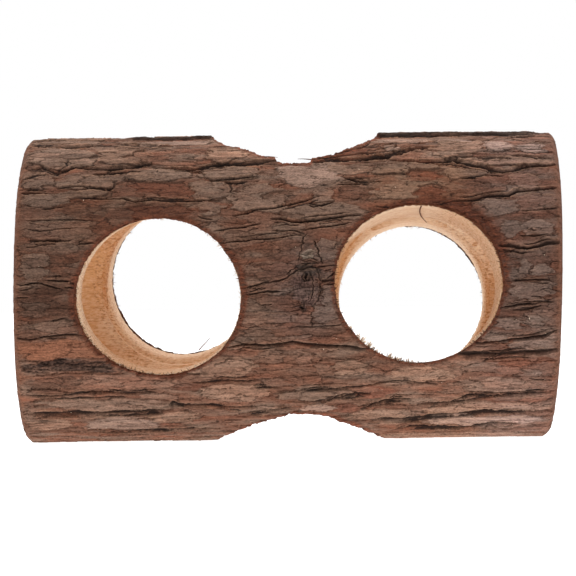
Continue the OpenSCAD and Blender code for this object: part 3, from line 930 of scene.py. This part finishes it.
def bark_material():
    m = Nodes("outer_bark_flaking")
    p = m.place()
    base = m.add("Attribute", props={"attribute_name": "tint"})
    streak = m.noise(m.scaled(p, 300, 1900, 1900), detail=4)
    grain = m.noise(m.scaled(p, 1500, 2700, 2700), detail=3)
    blot = m.noise(m.scaled(p, 110, 420, 420), detail=2)
    gate = m.noise(m.scaled(p, 70, 260, 260), detail=2)

    def hairs(sx, sv, width):
        n = m.noise(m.scaled(p, sx, sv, sv), detail=2.5, rough=0.6)
        return m.span(m.math("ABSOLUTE", m.math("SUBTRACT", n, 0.5)), 0.0, width, 1.0, 0.0)

    hair = m.math("MAXIMUM", m.math("MULTIPLY", hairs(75, 520, 0.030), m.span(gate, 0.40, 0.55)),
                  m.math("MULTIPLY", hairs(190, 1150, 0.035), m.span(gate, 0.62, 0.45)))
    tone = m.math("MULTIPLY", m.span(streak, 0.3, 0.7, 0.84, 1.16), m.span(grain, 0.3, 0.7, 0.72, 1.28))
    tone = m.math("MULTIPLY", tone, m.span(hair, 0.0, 1.0, 1.0, 0.66))
    col = m.mix(1.0, base, m.add("CombineColor", i0=tone, i1=tone, i2=tone), "MULTIPLY")
    col = m.mix(m.span(blot, 0.5, 0.72, 0.0, 0.16), col, m.mix(1.0, col, (1.30, 0.95, 0.78, 1), "MULTIPLY"))
    height = m.math("ADD", m.math("MULTIPLY", streak, 0.6), m.math("MULTIPLY", grain, 0.5))
    height = m.math("SUBTRACT", height, m.math("MULTIPLY", hair, 0.5))
    return m.finish(col, m.span(grain, 0.2, 0.8, 0.80, 0.97), m.bump(height, 0.6, 0.00035), 0.18)


def inner_material():
    m = Nodes("inner_bark_fibrous")
    p = m.place()
    fibre = m.noise(m.scaled(p, 160, 2600, 2600), detail=4)
    clump = m.noise(m.scaled(p, 260, 500, 500), detail=3)
    col = m.ramp(fibre, [(0.28, c3(lin(66, 36, 25))), (0.5, c3(lin(112, 66, 46))), (0.72, c3(lin(152, 97, 69)))])
    col = m.mix(m.span(clump, 0.35, 0.7, 0.0, 0.45), col, (*c3(lin(80, 46, 33)), 1.0))
    return m.finish(col, 0.9, m.bump(m.math("ADD", fibre, m.math("MULTIPLY", clump, 0.6)), 0.8, 0.0005), 0.15)


def wood_material(name, hole, bore, grain_scale, bump, ring_mm=2.7):
    """Sapwood: yearly rings around the log's axis, fibres along it, torn pores. The attribute "deep" leads from the
    pale rims (0) to the orange tunnel (1): partly the wood's own colour, partly painted light on the rims and painted
    shade deeper in the tunnel."""
    m = Nodes(name)
    p = m.place()
    deep = m.add("Attribute", out=2, props={"attribute_name": "deep"})
    fray = m.add("Attribute", out=2, props={"attribute_name": "fray"})
    centred = m.add("VectorMath", props={"operation": "SUBTRACT"}, i0=p, i1=(0, 0.0012, 0.0521))
    flat = m.add("VectorMath", props={"operation": "MULTIPLY"}, i0=centred, i1=(0.03, 1, 1))
    drift = m.noise(m.scaled(p, 14, 60, 60), detail=2)
    rho = m.add("VectorMath", out=1, props={"operation": "LENGTH"}, i0=flat)
    ringpos = m.math("MULTIPLY_ADD", rho, 1000.0 / ring_mm, m.math("MULTIPLY", drift, 1.6))
    ring = m.math("FRACT", ringpos)
    year = m.add("TexWhiteNoise", props={"noise_dimensions": "1D"}, W=m.math("FLOOR", ringpos))
    fibre = m.noise(m.scaled(p, grain_scale, 2200, 2200), detail=4, rough=0.6)
    torn = m.noise(m.scaled(p, 700, 1500, 1500), detail=3, rough=0.6)
    fuzz = m.noise(m.scaled(p, 1500, 3200, 3200), detail=2)
    cloud = m.noise(m.scaled(p, 45, 90, 90), detail=3)

    def rings(light, mid, late):
        col = m.ramp(ring, [(0.0, c3(light)), (0.45, c3(lerp(light, mid, 0.35))), (0.80, c3(mid)), (0.95, c3(late)), (1.0, c3(light))])
        return m.mix(m.span(year, 0, 1, 0.0, 0.55), col, (*c3(lerp(light, mid, 0.4)), 1.0))

    fade = m.span(m.math("MULTIPLY_ADD", m.math("SUBTRACT", torn, 0.5), 1.1, deep), 0.15, 0.85)
    col = m.mix(fade, rings(*hole), rings(*bore))
    late = m.mix(fade, (*c3(hole[2]), 1.0), (*c3(bore[2]), 1.0))
    pale = m.mix(fade, (*c3(lerp(hole[0], np.ones(3), 0.25)), 1.0), (*c3(lerp(bore[0], np.ones(3), 0.15)), 1.0))
    col = m.mix(m.span(cloud, 0.48, 0.70, 0.0, 0.30), col, late)
    col = m.mix(m.span(fibre, 0.50, 0.68, 0.0, 0.60), col, late)
    col = m.mix(m.math("MULTIPLY", m.span(fuzz, 0.50, 0.64, 0.0, 0.8), m.span(fray, 0, 1, 0.35, 1.0)), col, pale)
    col = m.mix(m.math("MULTIPLY", m.span(torn, 0.52, 0.64, 0.0, 0.62), m.span(fray, 0, 1, 0.22, 1.0)), col, m.mix(0.35, late, (*c3(lin(96, 52, 28)), 1.0)))
    height = m.math("ADD", m.math("MULTIPLY", fibre, 0.8), m.math("ADD", m.math("MULTIPLY", torn, 0.8), m.math("MULTIPLY", fuzz, 0.3)))
    return m.finish(col, m.span(torn, 0.2, 0.8, 0.65, 0.88), m.bump(height, bump, 0.0005), 0.2)


def knot_material():
    m = Nodes("knot_weathered")
    p = m.place()
    base = m.add("Attribute", props={"attribute_name": "tint"})
    grit = m.noise(m.scaled(p, 1500, 1500, 1500), detail=4)
    swirl = m.noise(m.scaled(p, 420, 420, 420), detail=3, warp=1.2)
    tone = m.math("MULTIPLY", m.span(grit, 0.3, 0.7, 0.72, 1.28), m.span(swirl, 0.3, 0.7, 0.85, 1.15))
    col = m.mix(1.0, base, m.add("CombineColor", i0=tone, i1=tone, i2=tone), "MULTIPLY")
    return m.finish(col, 0.88, m.bump(m.math("ADD", grit, swirl), 0.6, 0.0004), 0.2)


def floor_material():
    """A pale light-table: the photograph's ground is plain white and lights the log from below."""
    m = Nodes("pale_floor")
    p = m.place()
    n = m.noise(m.scaled(p, 3, 3, 3), detail=2)
    m.put(m.bsdf.inputs["Emission Color"], (1, 1, 1, 1))
    m.put(m.bsdf.inputs["Emission Strength"], 1.05)
    return m.finish(m.ramp(n, [(0.3, (0.34, 0.34, 0.34)), (0.7, (0.36, 0.36, 0.36))]), 0.9, None, 0.1)


BARK = bark_material()
INNER = inner_material()
# one sapwood in a pale copy for the rims and a darker copy for the tunnels: partly its own colour, partly painted light
# and painted shade
HOLE_TONES = (lin(250, 231, 206), lin(240, 208, 173), lin(214, 164, 115))
BORE_TONES = (lin(226, 180, 130), lin(208, 152, 102), lin(178, 116, 66))
WOOD_HOLE = wood_material("sapwood_bored", HOLE_TONES, BORE_TONES, 120, 0.6)
WOOD_END = wood_material("sapwood_sawn", (lin(228, 192, 156), lin(206, 156, 112), lin(160, 104, 62)), BORE_TONES, 1200, 0.5, 2.4)
KNOT = knot_material()


# ---------------------------------------------------------------- pieces
def keep(o, node, slot, *mats):
    o.data.materials.clear()
    for m in mats:
        o.data.materials.append(m)
    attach(o, "root")
    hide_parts(node)


def build_bark():
    cutter = bark_cutter()
    knot_cutter = link("knot_cutter", mesh_of("knot_cutter", *knot_solid(0.02, 56.0)))
    for k, name in enumerate(STRIPS):
        keep(bark_strip(k, cutter, knot_cutter), name, "outer_bark", BARK)
    drop(cutter)
    drop(knot_cutter)


def sleeve(r_in, r_out, nx, na, end_in=0.0):
    """A closed sleeve between two radii, cut by the two sawn ends. r_out may be a function of (x, a)."""
    a = np.linspace(0, 360, na, endpoint=False)[None]
    t = np.linspace(0, 1, nx)[:, None]
    x = end_left(a) + end_in + (end_right(a) - end_left(a) - 2 * end_in) * t
    a = np.broadcast_to(a, x.shape)
    ro = r_out(x.ravel(), a.ravel()).reshape(x.shape)
    v = np.concatenate([around(x, a, ro).reshape(-1, 3), around(x, a, np.full(x.shape, r_in)).reshape(-1, 3)])
    n = nx * na
    i = np.arange(nx - 1)[:, None] * na
    j = np.arange(na)[None]
    k = (j + 1) % na
    q = np.stack([i + j, i + na + j, i + na + k, i + k], -1).reshape(-1, 4)
    j, k = j[0], k[0]
    first = np.stack([j, k, k + n, j + n], -1)
    last = np.stack([j, j + n, k + n, k], -1) + (nx - 1) * na
    last = np.stack([(nx - 1) * na + j, (nx - 1) * na + j + n, (nx - 1) * na + k + n, (nx - 1) * na + k], -1)
    return v, [q, q[:, ::-1] + n, first, last]


def build_inner():
    def out(x, a):
        e = np.minimum(x - end_left(a), end_right(a) - x)
        r = INNER_R - 0.10 + 0.10 * noise(x, a, 9, 0.9, 60) + 0.08 * noise(x, a, 2.0, 0.8, 61)
        return np.minimum(r, 49.05 + 0.35 * e)
    v, f = sleeve(WOOD_R + 0.02, out, 330, 620, 0.05)
    o = link("inner_bark_fibres", mesh_of("inner_bark_fibres", v, f))
    solids = []
    for name in HOLES:
        for side in (-1, 1):
            def radius(t, f, name=name, side=side):
                seed = 620 + len(name) + side
                s = 0.30 + 0.20 * wave(f, 41, seed) + 0.20 * wave(f, 120, seed + 40) + 0.14 * wave(f, 260, seed + 80)
                return hole_r(name, f, side) + np.maximum(s, 0.03) + 0.05 * gnoise(t / 0.5, f * 26 / 0.6, 10 ** 6, 640)
            ts = side * np.concatenate([[34.0], np.arange(36.0, 52.5, 0.5), [60.0]])
            solids.append(hole_solid(name, ts, 520, radius))
    solids.append(knot_solid(0.06, 56.0))
    cutter = link("inner_cutter", mesh_of("inner_cutter", *joined(solids)))
    carve(o, cutter)
    drop(cutter)
    shade(o.data, 50)
    keep(o, "inner_bark", "inner_bark", INNER)


def build_wood():
    # body with sawn ends: a polar grid on each end face
    na = 240
    a = np.linspace(0, 360, na, endpoint=False)
    rad = np.concatenate([[2.0], np.linspace(14, WOOD_R - 0.4, 26), [WOOD_R]])
    rings = []
    for left in (True, False):
        for r in (rad if left else rad[::-1]):
            y, z = -r * np.cos(np.radians(a)), r * np.sin(np.radians(a))
            saw = 0.05 * np.sin((y * 0.35 + z) * 3.7 + 0.8 * np.sin(y * 0.13)) + 0.04 * np.sin((y * 0.35 + z) * 9.1 + 1.0)
            x = (end_left(a, r) if left else end_right(a, r)) + saw
            rings.append(np.stack([x + np.zeros(na), y, AXIS_Z + z], -1))
    o = link("log_wood_bored", mesh_of("log_wood_bored", *tube(np.array(rings))))
    for m in (WOOD_END, WOOD_HOLE):
        o.data.materials.append(m)
    solids = []

    def marks(t, f, seed, grain):
        """Torn grain where the cutter met the fibres end-on, smoother and streaked where it ran along them."""
        s = t + 0.0
        g = grain
        return ((0.05 + 0.10 * g) * gnoise(s / 0.9, f * 26 / 0.9, 10 ** 6, seed) + 0.05 * gnoise(s / 3.0, f * 26 / 2.0, 10 ** 6, seed + 1)
                + 0.05 * np.sin(s * 4.4 + 1.2 * np.sin(f * 2)) * (0.4 + 0.6 * g))

    def wall(t, f, name, seed):
        """Radius of a hole's wall: rounded over where it opens into the tunnel, chipped at the outer rim."""
        r = hole_r(name, f, t / 41.0) + marks(t, f, seed, np.abs(np.cos(f)))
        if name != "mid":
            z = SIDE[name][1] + r * np.sin(f) + t * math.sin(math.radians(SIDE[name][2]))
            y0, rb = (-1.0, 33.0) if name == "left" else (11.0, 24.0)
            half = np.sqrt(np.maximum(rb ** 2 - z ** 2, 0))
            off = np.clip(np.abs(t - y0) - half, 0, 3.5) / 3.5
            r = r + 2.0 * (1 - np.sqrt(1 - (1 - off) ** 2)) * smooth(0, 9, half)
            rim = np.sqrt(np.maximum(WOOD_R ** 2 - z ** 2, 0)) - np.abs(t)
            chip = np.maximum(gnoise(t / 1.5, f / (2 * math.pi) * 130, 130, seed + 5), 0) + 0.7 * np.maximum(gnoise(t / 0.8, f / (2 * math.pi) * 260, 260, seed + 6), 0)
            ragged_at = 1.0 + (1.3 * bump(f, 232, 48) if name == "left" else 0.0)
            r = r + 0.55 * ragged_at * chip * smooth(1.5 * ragged_at, 0.0, rim)
        return r

    for n, name in enumerate(HOLES):
        ts = np.concatenate([[-62.0], np.linspace(-50, 50, 190), [62.0]])
        solids.append(hole_solid(name, ts, 420, lambda t, f, n=n, name=name: wall(t, f, name, 700 + 10 * n)))
    cut = link("hole_cutter", mesh_of("hole_cutter", *solids[0]))
    cuts = [cut] + [link("hole_cutter%d" % i, mesh_of("hole_cutter%d" % i, *s)) for i, s in enumerate(solids[1:])]
    for c in cuts:
        idx = np.ones(len(c.data.polygons), np.int32)
        for m in (WOOD_END, WOOD_HOLE):
            c.data.materials.append(m)
        c.data.polygons.foreach_set("material_index", idx)
    bores = []
    for x0, x1, y0, r0, seed in ((-110, MID_X, -1.0, 33.0, 750), (MID_X, 112, 11.0, 24.0, 760)):
        f = np.linspace(0, 2 * math.pi, 230, endpoint=False)
        xs = np.linspace(x0, x1, 120)
        xx, ff = np.meshgrid(xs, f, indexing="ij")
        w = ff / (2 * math.pi)
        n1, n2, n3 = int(2 * math.pi * r0 / 7.0), int(2 * math.pi * r0 / 1.3), int(2 * math.pi * r0 / 0.9)
        r = r0 + (0.45 * gnoise(xx / 8.0, w * n1, n1, seed + 2) + 0.16 * gnoise(xx / 9.0, w * n2, n2, seed)
                  + 0.12 * gnoise(xx / 1.6, w * n3, n3, seed + 1) + 0.08 * np.sin(xx * 1.9 + 2 * np.sin(ff)))
        bores.append(tube(np.stack([xx, y0 + r * np.cos(ff), AXIS_Z + r * np.sin(ff)], -1)))
    for i, s in enumerate(bores):
        c = link("bore_cutter%d" % i, mesh_of("bore_cutter%d" % i, *s))
        for m in (WOOD_END, WOOD_HOLE):
            c.data.materials.append(m)
        c.data.polygons.foreach_set("material_index", np.ones(len(c.data.polygons), np.int32))
        cuts.append(c)
    cuts.append(link("knot_hole", mesh_of("knot_hole", *knot_solid(0.05, 54.0))))
    for c in cuts:
        carve(o, c)
        drop(c)
    x, a, r = polar(coords(o.data))
    y, z = -r * np.cos(np.radians(a)), r * np.sin(np.radians(a))
    # deep: 0 for the pale rim colour, 1 for the darker tunnel colour; partly wood colour, partly painted shade inside
    # the tunnels
    off = np.where(x < MID_X, np.hypot(y + 1.0, z) - 33.0, np.hypot(y - 11.0, z) - 24.0)
    uneven = 2.2 * noise(x, a, 3.0, 3.0, 770, 3)
    deep = smooth(10.0, -2.0, off + uneven)
    fray = np.zeros_like(x)
    for name in ("left", "right"):
        d, t, along = hole_coords(name, x, y, z)
        deg = np.degrees(np.mod(t, 2 * math.pi))
        if name == "left":
            mine = smooth(10.0, -2.0, off + uneven + 2.4 * noise(x, a, 0.9, 0.9, 771, 2) + 8.5 * bump(t, 232, 32)) * (0.34 + 0.66 * bump(t, 178, 72))
            low = 0.20 + 0.14 * smooth(0, 20, y) + 0.38 * bump(t, 242, 44) * smooth(4, -8, y)
        else:
            mine = deep * (0.10 + 0.72 * bump(t, 0, 36) + 0.35 * bump(t, 172, 24))
            part = (along + 41.0) / 82.0 + 0.04 * uneven
            mid = np.interp(deg, (90, 100, 120, 140, 160, 200), (0.50, 0.49, 0.45, 0.38, 0.30, 0.30))
            near = np.interp(deg, (90, 120, 132, 142, 155, 200), (0.08, 0.10, 0.12, 0.26, 0.8, 2.0))
            wide = np.interp(deg, (90, 120, 140, 160, 200), (0.08, 0.10, 0.18, 0.40, 0.60))
            full = np.interp(deg, (84, 100, 110, 120, 128, 215, 235), (0.0, 0.60, 0.45, 0.52, 1.0, 1.0, 0.0))
            mine = np.maximum(mine, full * np.exp(-((part - mid) / np.where(part < mid, near, wide)) ** 2))
            mine = np.maximum(mine, 0.95 * smooth(2.5, 0.6, np.abs(off)) * smooth(122, 134, deg) * smooth(225, 205, deg))
            mine = np.maximum(mine, smooth(0.55, 0.75, part) * np.interp(deg, (96, 116, 148, 160, 200, 220), (0.0, 0.30, 0.30, 0.45, 0.45, 0.0)))
            mine = np.maximum(mine, 0.95 * np.exp(-((part - 0.54) / 0.12) ** 2) * np.interp(wrap(deg), (-40, -10, 32, 45, 60, 80), (0.6, 1.0, 1.0, 0.8, 0.55, 0.0)))
            low = 0.52 * smooth(0.66, 0.48, part) * np.interp(wrap(deg), (-60, -35, 62, 86), (0.0, 1.0, 1.0, 0.0))
        mine = np.where(d < 31, np.maximum(mine, low), mine)
        deep = np.where(d < 40, lerp(mine, 0.85 * deep, smooth(28.5, 36, d)), deep)
        end_on = np.abs(np.cos(t)) if name == "left" else np.abs(np.cos(t - 0.35))
        fray = np.where(d < 31, smooth(0.25, 0.85, end_on + 0.35 * bump(t, 262, 40)), fray)
    for key, value in (("deep", deep), ("fray", fray)):
        at = o.data.attributes.new(key, "FLOAT", "POINT")
        at.data.foreach_set("value", value.astype(np.float32))
    shade(o.data, 40)
    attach(o, "root")
    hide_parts("log_wood")
    return o


def build_knot():
    """The grown-over branch: its mottled face lies in the bark, its cone reaches in to the vertical hole."""
    f = np.linspace(0, 2 * math.pi, 240, endpoint=False)
    grids = [knot_ring(h, f) for h in (20.0, 40.0, 48.0)]
    for part in np.concatenate([[1.0, 0.985], np.linspace(0.96, 0.02, 40)]):
        h = np.full(f.shape, 51.0)
        for _ in range(4):
            x, a, r = polar(knot_ring(h, f, part))
            h = h + bark(x, a)[0] - r
        grids.append(knot_ring(h, f, part))
    o = link("branch_knot_face", mesh_of("branch_knot_face", *tube(np.array(grids))))
    c = link("knot_trim", mesh_of("knot_trim", *hole_solid("mid", np.linspace(-60, 60, 7), 200, lambda t, f: np.full_like(t, MID_R + 0.02))))
    carve(o, c)
    drop(c)
    x, a, r = polar(coords(o.data))
    top, rgb = bark(x, a)
    wood = lin(170, 112, 72) * (1 + 0.2 * noise(x, a, 1.5, 1.0, 411))[:, None]
    tint(o.data, lerp(rgb, wood, smooth(0.5, 1.6, top - r)[:, None]))
    shade(o.data, 48)
    keep(o, "branch_knot", "knot_wood", KNOT)


def rim_point(name, side, f, dr, radius):
    """A point at a hole's rim, the direction into the hole and the direction out of the log."""
    o, ex, ey, ez = hole_frame(name)
    inward = -(math.cos(f) * ex + math.sin(f) * ey)
    q = o - (float(hole_r(name, np.array(f), side)) + dr) * inward
    i, j, k = ez[1] ** 2 + ez[2] ** 2, q[1] * ez[1] + q[2] * ez[2], q[1] ** 2 + q[2] ** 2 - radius ** 2
    t = (-j + side * math.sqrt(max(j * j - i * k, 0.0))) / i
    return q + t * ez + np.array([0, 0, AXIS_Z]), inward, side * ez


def at_depth(px, py, y):
    """The point that a place of the photograph shows if it lies y mm behind the log's axis."""
    d = _w + (px - 288.0) / CAM_F * CAM_RIGHT + (288.0 - py) / CAM_F * CAM_UP
    return CAM_POS + (y - CAM_POS[1]) / d[1] * d + np.array([0, 0, AXIS_Z])


def fibre(path, r0, r1, flat=1.0):
    """A thin tapering strand along a path, closed at both ends."""
    path = np.asarray(path, float)
    n = len(path)
    f = np.linspace(0, 2 * math.pi, 6, endpoint=False)
    rings = []
    for i in range(n):
        d = path[min(i + 1, n - 1)] - path[max(i - 1, 0)]
        d = d / np.linalg.norm(d)
        u = np.cross(d, [0.31, 0.23, 0.92])
        u = u / np.linalg.norm(u)
        w = np.cross(d, u)
        r = lerp(r0, r1, i / (n - 1))
        rings.append(path[i] + r * np.cos(f)[:, None] * u + r * flat * np.sin(f)[:, None] * w)
    return tube(np.array(rings))


def build_fibres():
    """Splinters and fibres the cutter left standing at the rims, a few on the bark."""
    rng = np.random.default_rng(977)
    pale, dark = [], []

    def tuft(store, name, side, centre, spread, count, lo, hi, thick, into, out, along, radius=(47.6, 49.3)):
        for _ in range(count):
            f = math.radians(rng.normal(centre, spread))
            p, inward, outward = rim_point(name, side, f, rng.uniform(-0.05, 0.35), rng.uniform(*radius))
            d = into * rng.uniform(0.4, 1.2) * inward + out * rng.uniform(0.0, 1.0) * outward + np.array([along * rng.normal(), 0, 0.25 * rng.normal()])
            d = d / np.linalg.norm(d)
            bent = rng.normal(0, 0.35, 3)
            ln = rng.uniform(lo, hi)
            ts = np.linspace(-0.15, 1, 6)[:, None]
            store.append(fibre(p + ln * ts * d + ln * 0.5 * ts ** 2 * bent, thick * rng.uniform(0.7, 1.3), 0.03))

    # right hole: fringe along the lower left and the lower right
    for centre, spread, count, hi in ((212, 5, 16, 1.6), (223, 4, 26, 2.6), (232, 4, 30, 2.4), (243, 6, 18, 1.6), (256, 4, 26, 2.8), (266, 5, 18, 1.8), (318, 6, 44, 2.3)):
        tuft(pale, "right", -1, centre, spread, (2 * count) // 3, 0.5, 0.9 * hi, 0.13, 1.0, 0.5, 0.5)
        tuft(dark, "right", -1, centre, spread, count // 4, 0.4, 0.6 * hi, 0.14, 1.0, 0.5, 0.5, (48.6, 50.2))
    for centre, spread, count, hi in ((214, 1.4, 6, 1.5), (225, 0.9, 10, 2.7), (231, 0.8, 10, 2.6), (237, 2.0, 8, 1.3), (248.5, 0.8, 10, 2.7), (253, 1.5, 10, 1.7), (262, 0.8, 6, 1.5)):
        tuft(pale, "right", -1, centre, spread, count, 0.8, hi, 0.17, 1.0, 0.4, 0.25, (48.2, 49.6))
        tuft(dark, "right", -1, centre, spread, count // 3, 0.8, 0.75 * hi, 0.14, 1.0, 0.4, 0.25, (48.4, 50.0))
    tuft(dark, "right", -1, 40, 28, 70, 0.4, 1.3, 0.13, -0.25, 0.6, 0.9, (49.0, 50.6))
    tuft(dark, "right", -1, 130, 22, 40, 0.4, 1.0, 0.12, -0.25, 0.6, 0.9, (49.0, 50.4))
    tuft(dark, "right", -1, 182, 18, 44, 0.3, 1.0, 0.13, 0.5, 0.6, 0.5, (48.0, 49.8))
    # left hole: short frayed edge all round, longer at the right
    tuft(pale, "left", -1, 190, 45, 90, 0.3, 1.1, 0.11, 0.5, 0.6, 0.5)
    tuft(pale, "left", -1, 20, 40, 70, 0.3, 1.2, 0.10, 0.8, 0.4, 0.5)
    tuft(pale, "left", -1, 255, 25, 50, 0.3, 1.0, 0.11, 0.6, 0.5, 0.6)
    tuft(dark, "left", -1, 10, 60, 40, 0.3, 0.7, 0.12, 0.2, 0.5, 0.8, (48.9, 50.3))
    tuft(dark, "left", -1, 225, 35, 50, 0.3, 0.9, 0.12, -0.2, 0.6, 0.8, (48.9, 50.2))
    tuft(dark, "left", -1, 238, 26, 70, 0.3, 0.8, 0.15, 0.5, 0.2, 0.6, (46.6, 48.3))
    # far rims
    tuft(dark, "left", 1, 195, 30, 44, 0.3, 1.1, 0.12, 0.8, 0.3, 0.5, (48.0, 49.8))
    tuft(dark, "right", 1, 50, 35, 30, 0.3, 0.9, 0.11, 0.8, 0.3, 0.5, (48.0, 49.8))
    for name in ("left", "right"):
        tuft(pale, name, 1, 90, 70, 50, 0.3, 1.2, 0.11, 0.8, 0.4, 0.6)
    # a hair in the left hole and one lying on the wall of the right hole
    dark.append(fibre([at_depth(px, py, y) for px, py, y in ((199, 350, 41.5), (203, 345.5, 41.7), (206.5, 342, 42.0), (210, 337.5, 42.4))], 0.20, 0.12))
    way = []
    for f, back in ((86.5, 0.4), (86.8, 10.0), (86.2, 22.0), (84.6, 34.0), (81.5, 46.0), (78.5, 56.0)):
        q, inward, outward = rim_point("right", -1, math.radians(f), -0.10 - 0.5 * (back / 82.0), 48.0)
        way.append(q - back * outward)
    dark.append(fibre(way, 0.22, 0.12))
    # bark slivers at the notch
    for pts, r0 in (([(314, 159.6), (307, 158.9), (302, 158.6), (297.6, 158.7)], 0.28), ([(262, 156.6), (268, 156.2), (274, 156.6), (277.5, 157.2)], 0.22),
                    ([(340, 152), (344, 150.6), (347, 149.4)], 0.20), ([(225, 145.6), (229, 146), (233, 146.8)], 0.18)):
        way = []
        for px, py in pts:
            x, a = from_photo(px, py, 51.3)
            way.append(around(np.array([x]), np.array([a]), np.array([51.2]))[0])
        dark.append(fibre(way, r0, 0.08, 0.7))
    # dust
    for _ in range(46):
        x, a = rng.uniform(-85, 85), rng.uniform(-75, 60)
        r, _c = bark(np.array([x]), np.array([a]))
        y, z = -51 * math.cos(math.radians(a)), 51 * math.sin(math.radians(a))
        if min(hole_coords(n, np.array([x]), np.array([y]), np.array([z]))[0][0] for n in HOLES) < 31:
            continue
        q = around(np.array([x]), np.array([a]), np.maximum(r - 0.02, 49.8))[0]
        d = rng.normal(0, 1, 3)
        d = d / np.linalg.norm(d) * rng.uniform(0.12, 0.32)
        pale.append(fibre([q - d, q, q + d], 0.10, 0.07))
    for name, store, node, slot, mat in (("rim_fibres", pale, "log_wood", "sapwood", WOOD_HOLE), ("bark_fibres", dark, "inner_bark", "inner_bark", INNER)):
        o = link(name, mesh_of(name, *joined(store)))
        shade(o.data, 60)
        keep(o, node, slot, mat)


build_bark()
build_inner()
build_wood()
build_knot()
build_fibres()


# ---------------------------------------------------------------- floor, light and camera
def plane(name, sx, sy, z):
    v = np.array([[-sx, -sy, z], [sx, -sy, z], [sx, sy, z], [-sx, sy, z]]) * 1000.0
    o = link(name, mesh_of(name, v, [np.array([[0, 1, 2, 3]])]))
    return o


floor = plane("studio_floor", 6.0, 6.0, -0.0004)
floor.data.materials.append(floor_material())


def panel(name, at, aim, sx, sy, power, colour=(1, 1, 1)):
    d = bpy.data.lights.new(name, "AREA")
    d.shape, d.size, d.size_y, d.energy, d.color = "RECTANGLE", sx, sy, power, colour
    o = bpy.data.objects.new(name, d)
    bpy.context.scene.collection.objects.link(o)
    o.location = at
    o.rotation_euler = (Vector(aim) - Vector(at)).to_track_quat("-Z", "Y").to_euler()
    o.visible_camera = False
    return o


panel("overhead", (0.0, -0.10, 1.25), (0, 0, 0.05), 1.6, 1.0, 12.0)

world = bpy.data.worlds.new("studio")
bpy.context.scene.world = world
world.use_nodes = True
wt = world.node_tree
wt.nodes.clear()


def wnode(kind, out=0, props=None, **inputs):
    n = wt.nodes.new("ShaderNode" + kind)
    for k, v in (props or {}).items():
        setattr(n, k, v)
    for k, v in inputs.items():
        socket = n.inputs[int(k[1:])] if k[1:].isdigit() else n.inputs[k.replace("_", " ")]
        if hasattr(v, "is_output"):
            wt.links.new(v, socket)
        else:
            socket.default_value = v
    return n.outputs[out]


# bright from above and from behind, dim from the camera's side; the camera itself sees plain white
w_dir = wt.nodes.new("ShaderNodeSeparateXYZ")
wt.links.new(wnode("TexCoord"), w_dir.inputs[0])
w_up = wnode("Math", props={"operation": "POWER"}, i0=wnode("Math", props={"operation": "MAXIMUM"}, i0=w_dir.outputs[2], i1=0.0), i1=1.4)
w_back = wnode("MapRange", props={"interpolation_type": "SMOOTHSTEP"}, Value=w_dir.outputs[1], From_Min=0.0, From_Max=0.8, To_Min=0.0, To_Max=1.10)
w_level = wnode("Math", props={"operation": "MULTIPLY_ADD"}, i0=w_up, i1=0.95, i2=wnode("Math", props={"operation": "ADD"}, i0=w_back, i1=0.05))
w_dim = wnode("Background", Strength=w_level)
w_white = wnode("Background", Color=(1, 1, 1, 1), Strength=1.0)
w_dim.node.inputs[0].default_value = (1, 1, 1, 1)
w_cam = wnode("LightPath")
w_mix = wnode("MixShader", i0=w_cam, i1=w_dim, i2=w_white)
w_out = wt.nodes.new("ShaderNodeOutputWorld")
wt.links.new(w_mix, w_out.inputs[0])

bpy.context.scene.view_settings.view_transform = "Standard"
bpy.context.scene.view_settings.look = "None"

cam = bpy.data.cameras.new("photo_camera")
cam.sensor_width, cam.lens, cam.clip_end = 36.0, CAM_F / 576.0 * 36.0, 20.0
camera = bpy.data.objects.new("photo_camera", cam)
bpy.context.scene.collection.objects.link(camera)
pos = (CAM_POS + np.array([0, 0, AXIS_Z])) * 0.001
camera.matrix_world = Matrix(np.vstack([np.column_stack([CAM_RIGHT, CAM_UP, -_w, pos]), [0, 0, 0, 1]]).tolist())
bpy.context.scene.camera = camera
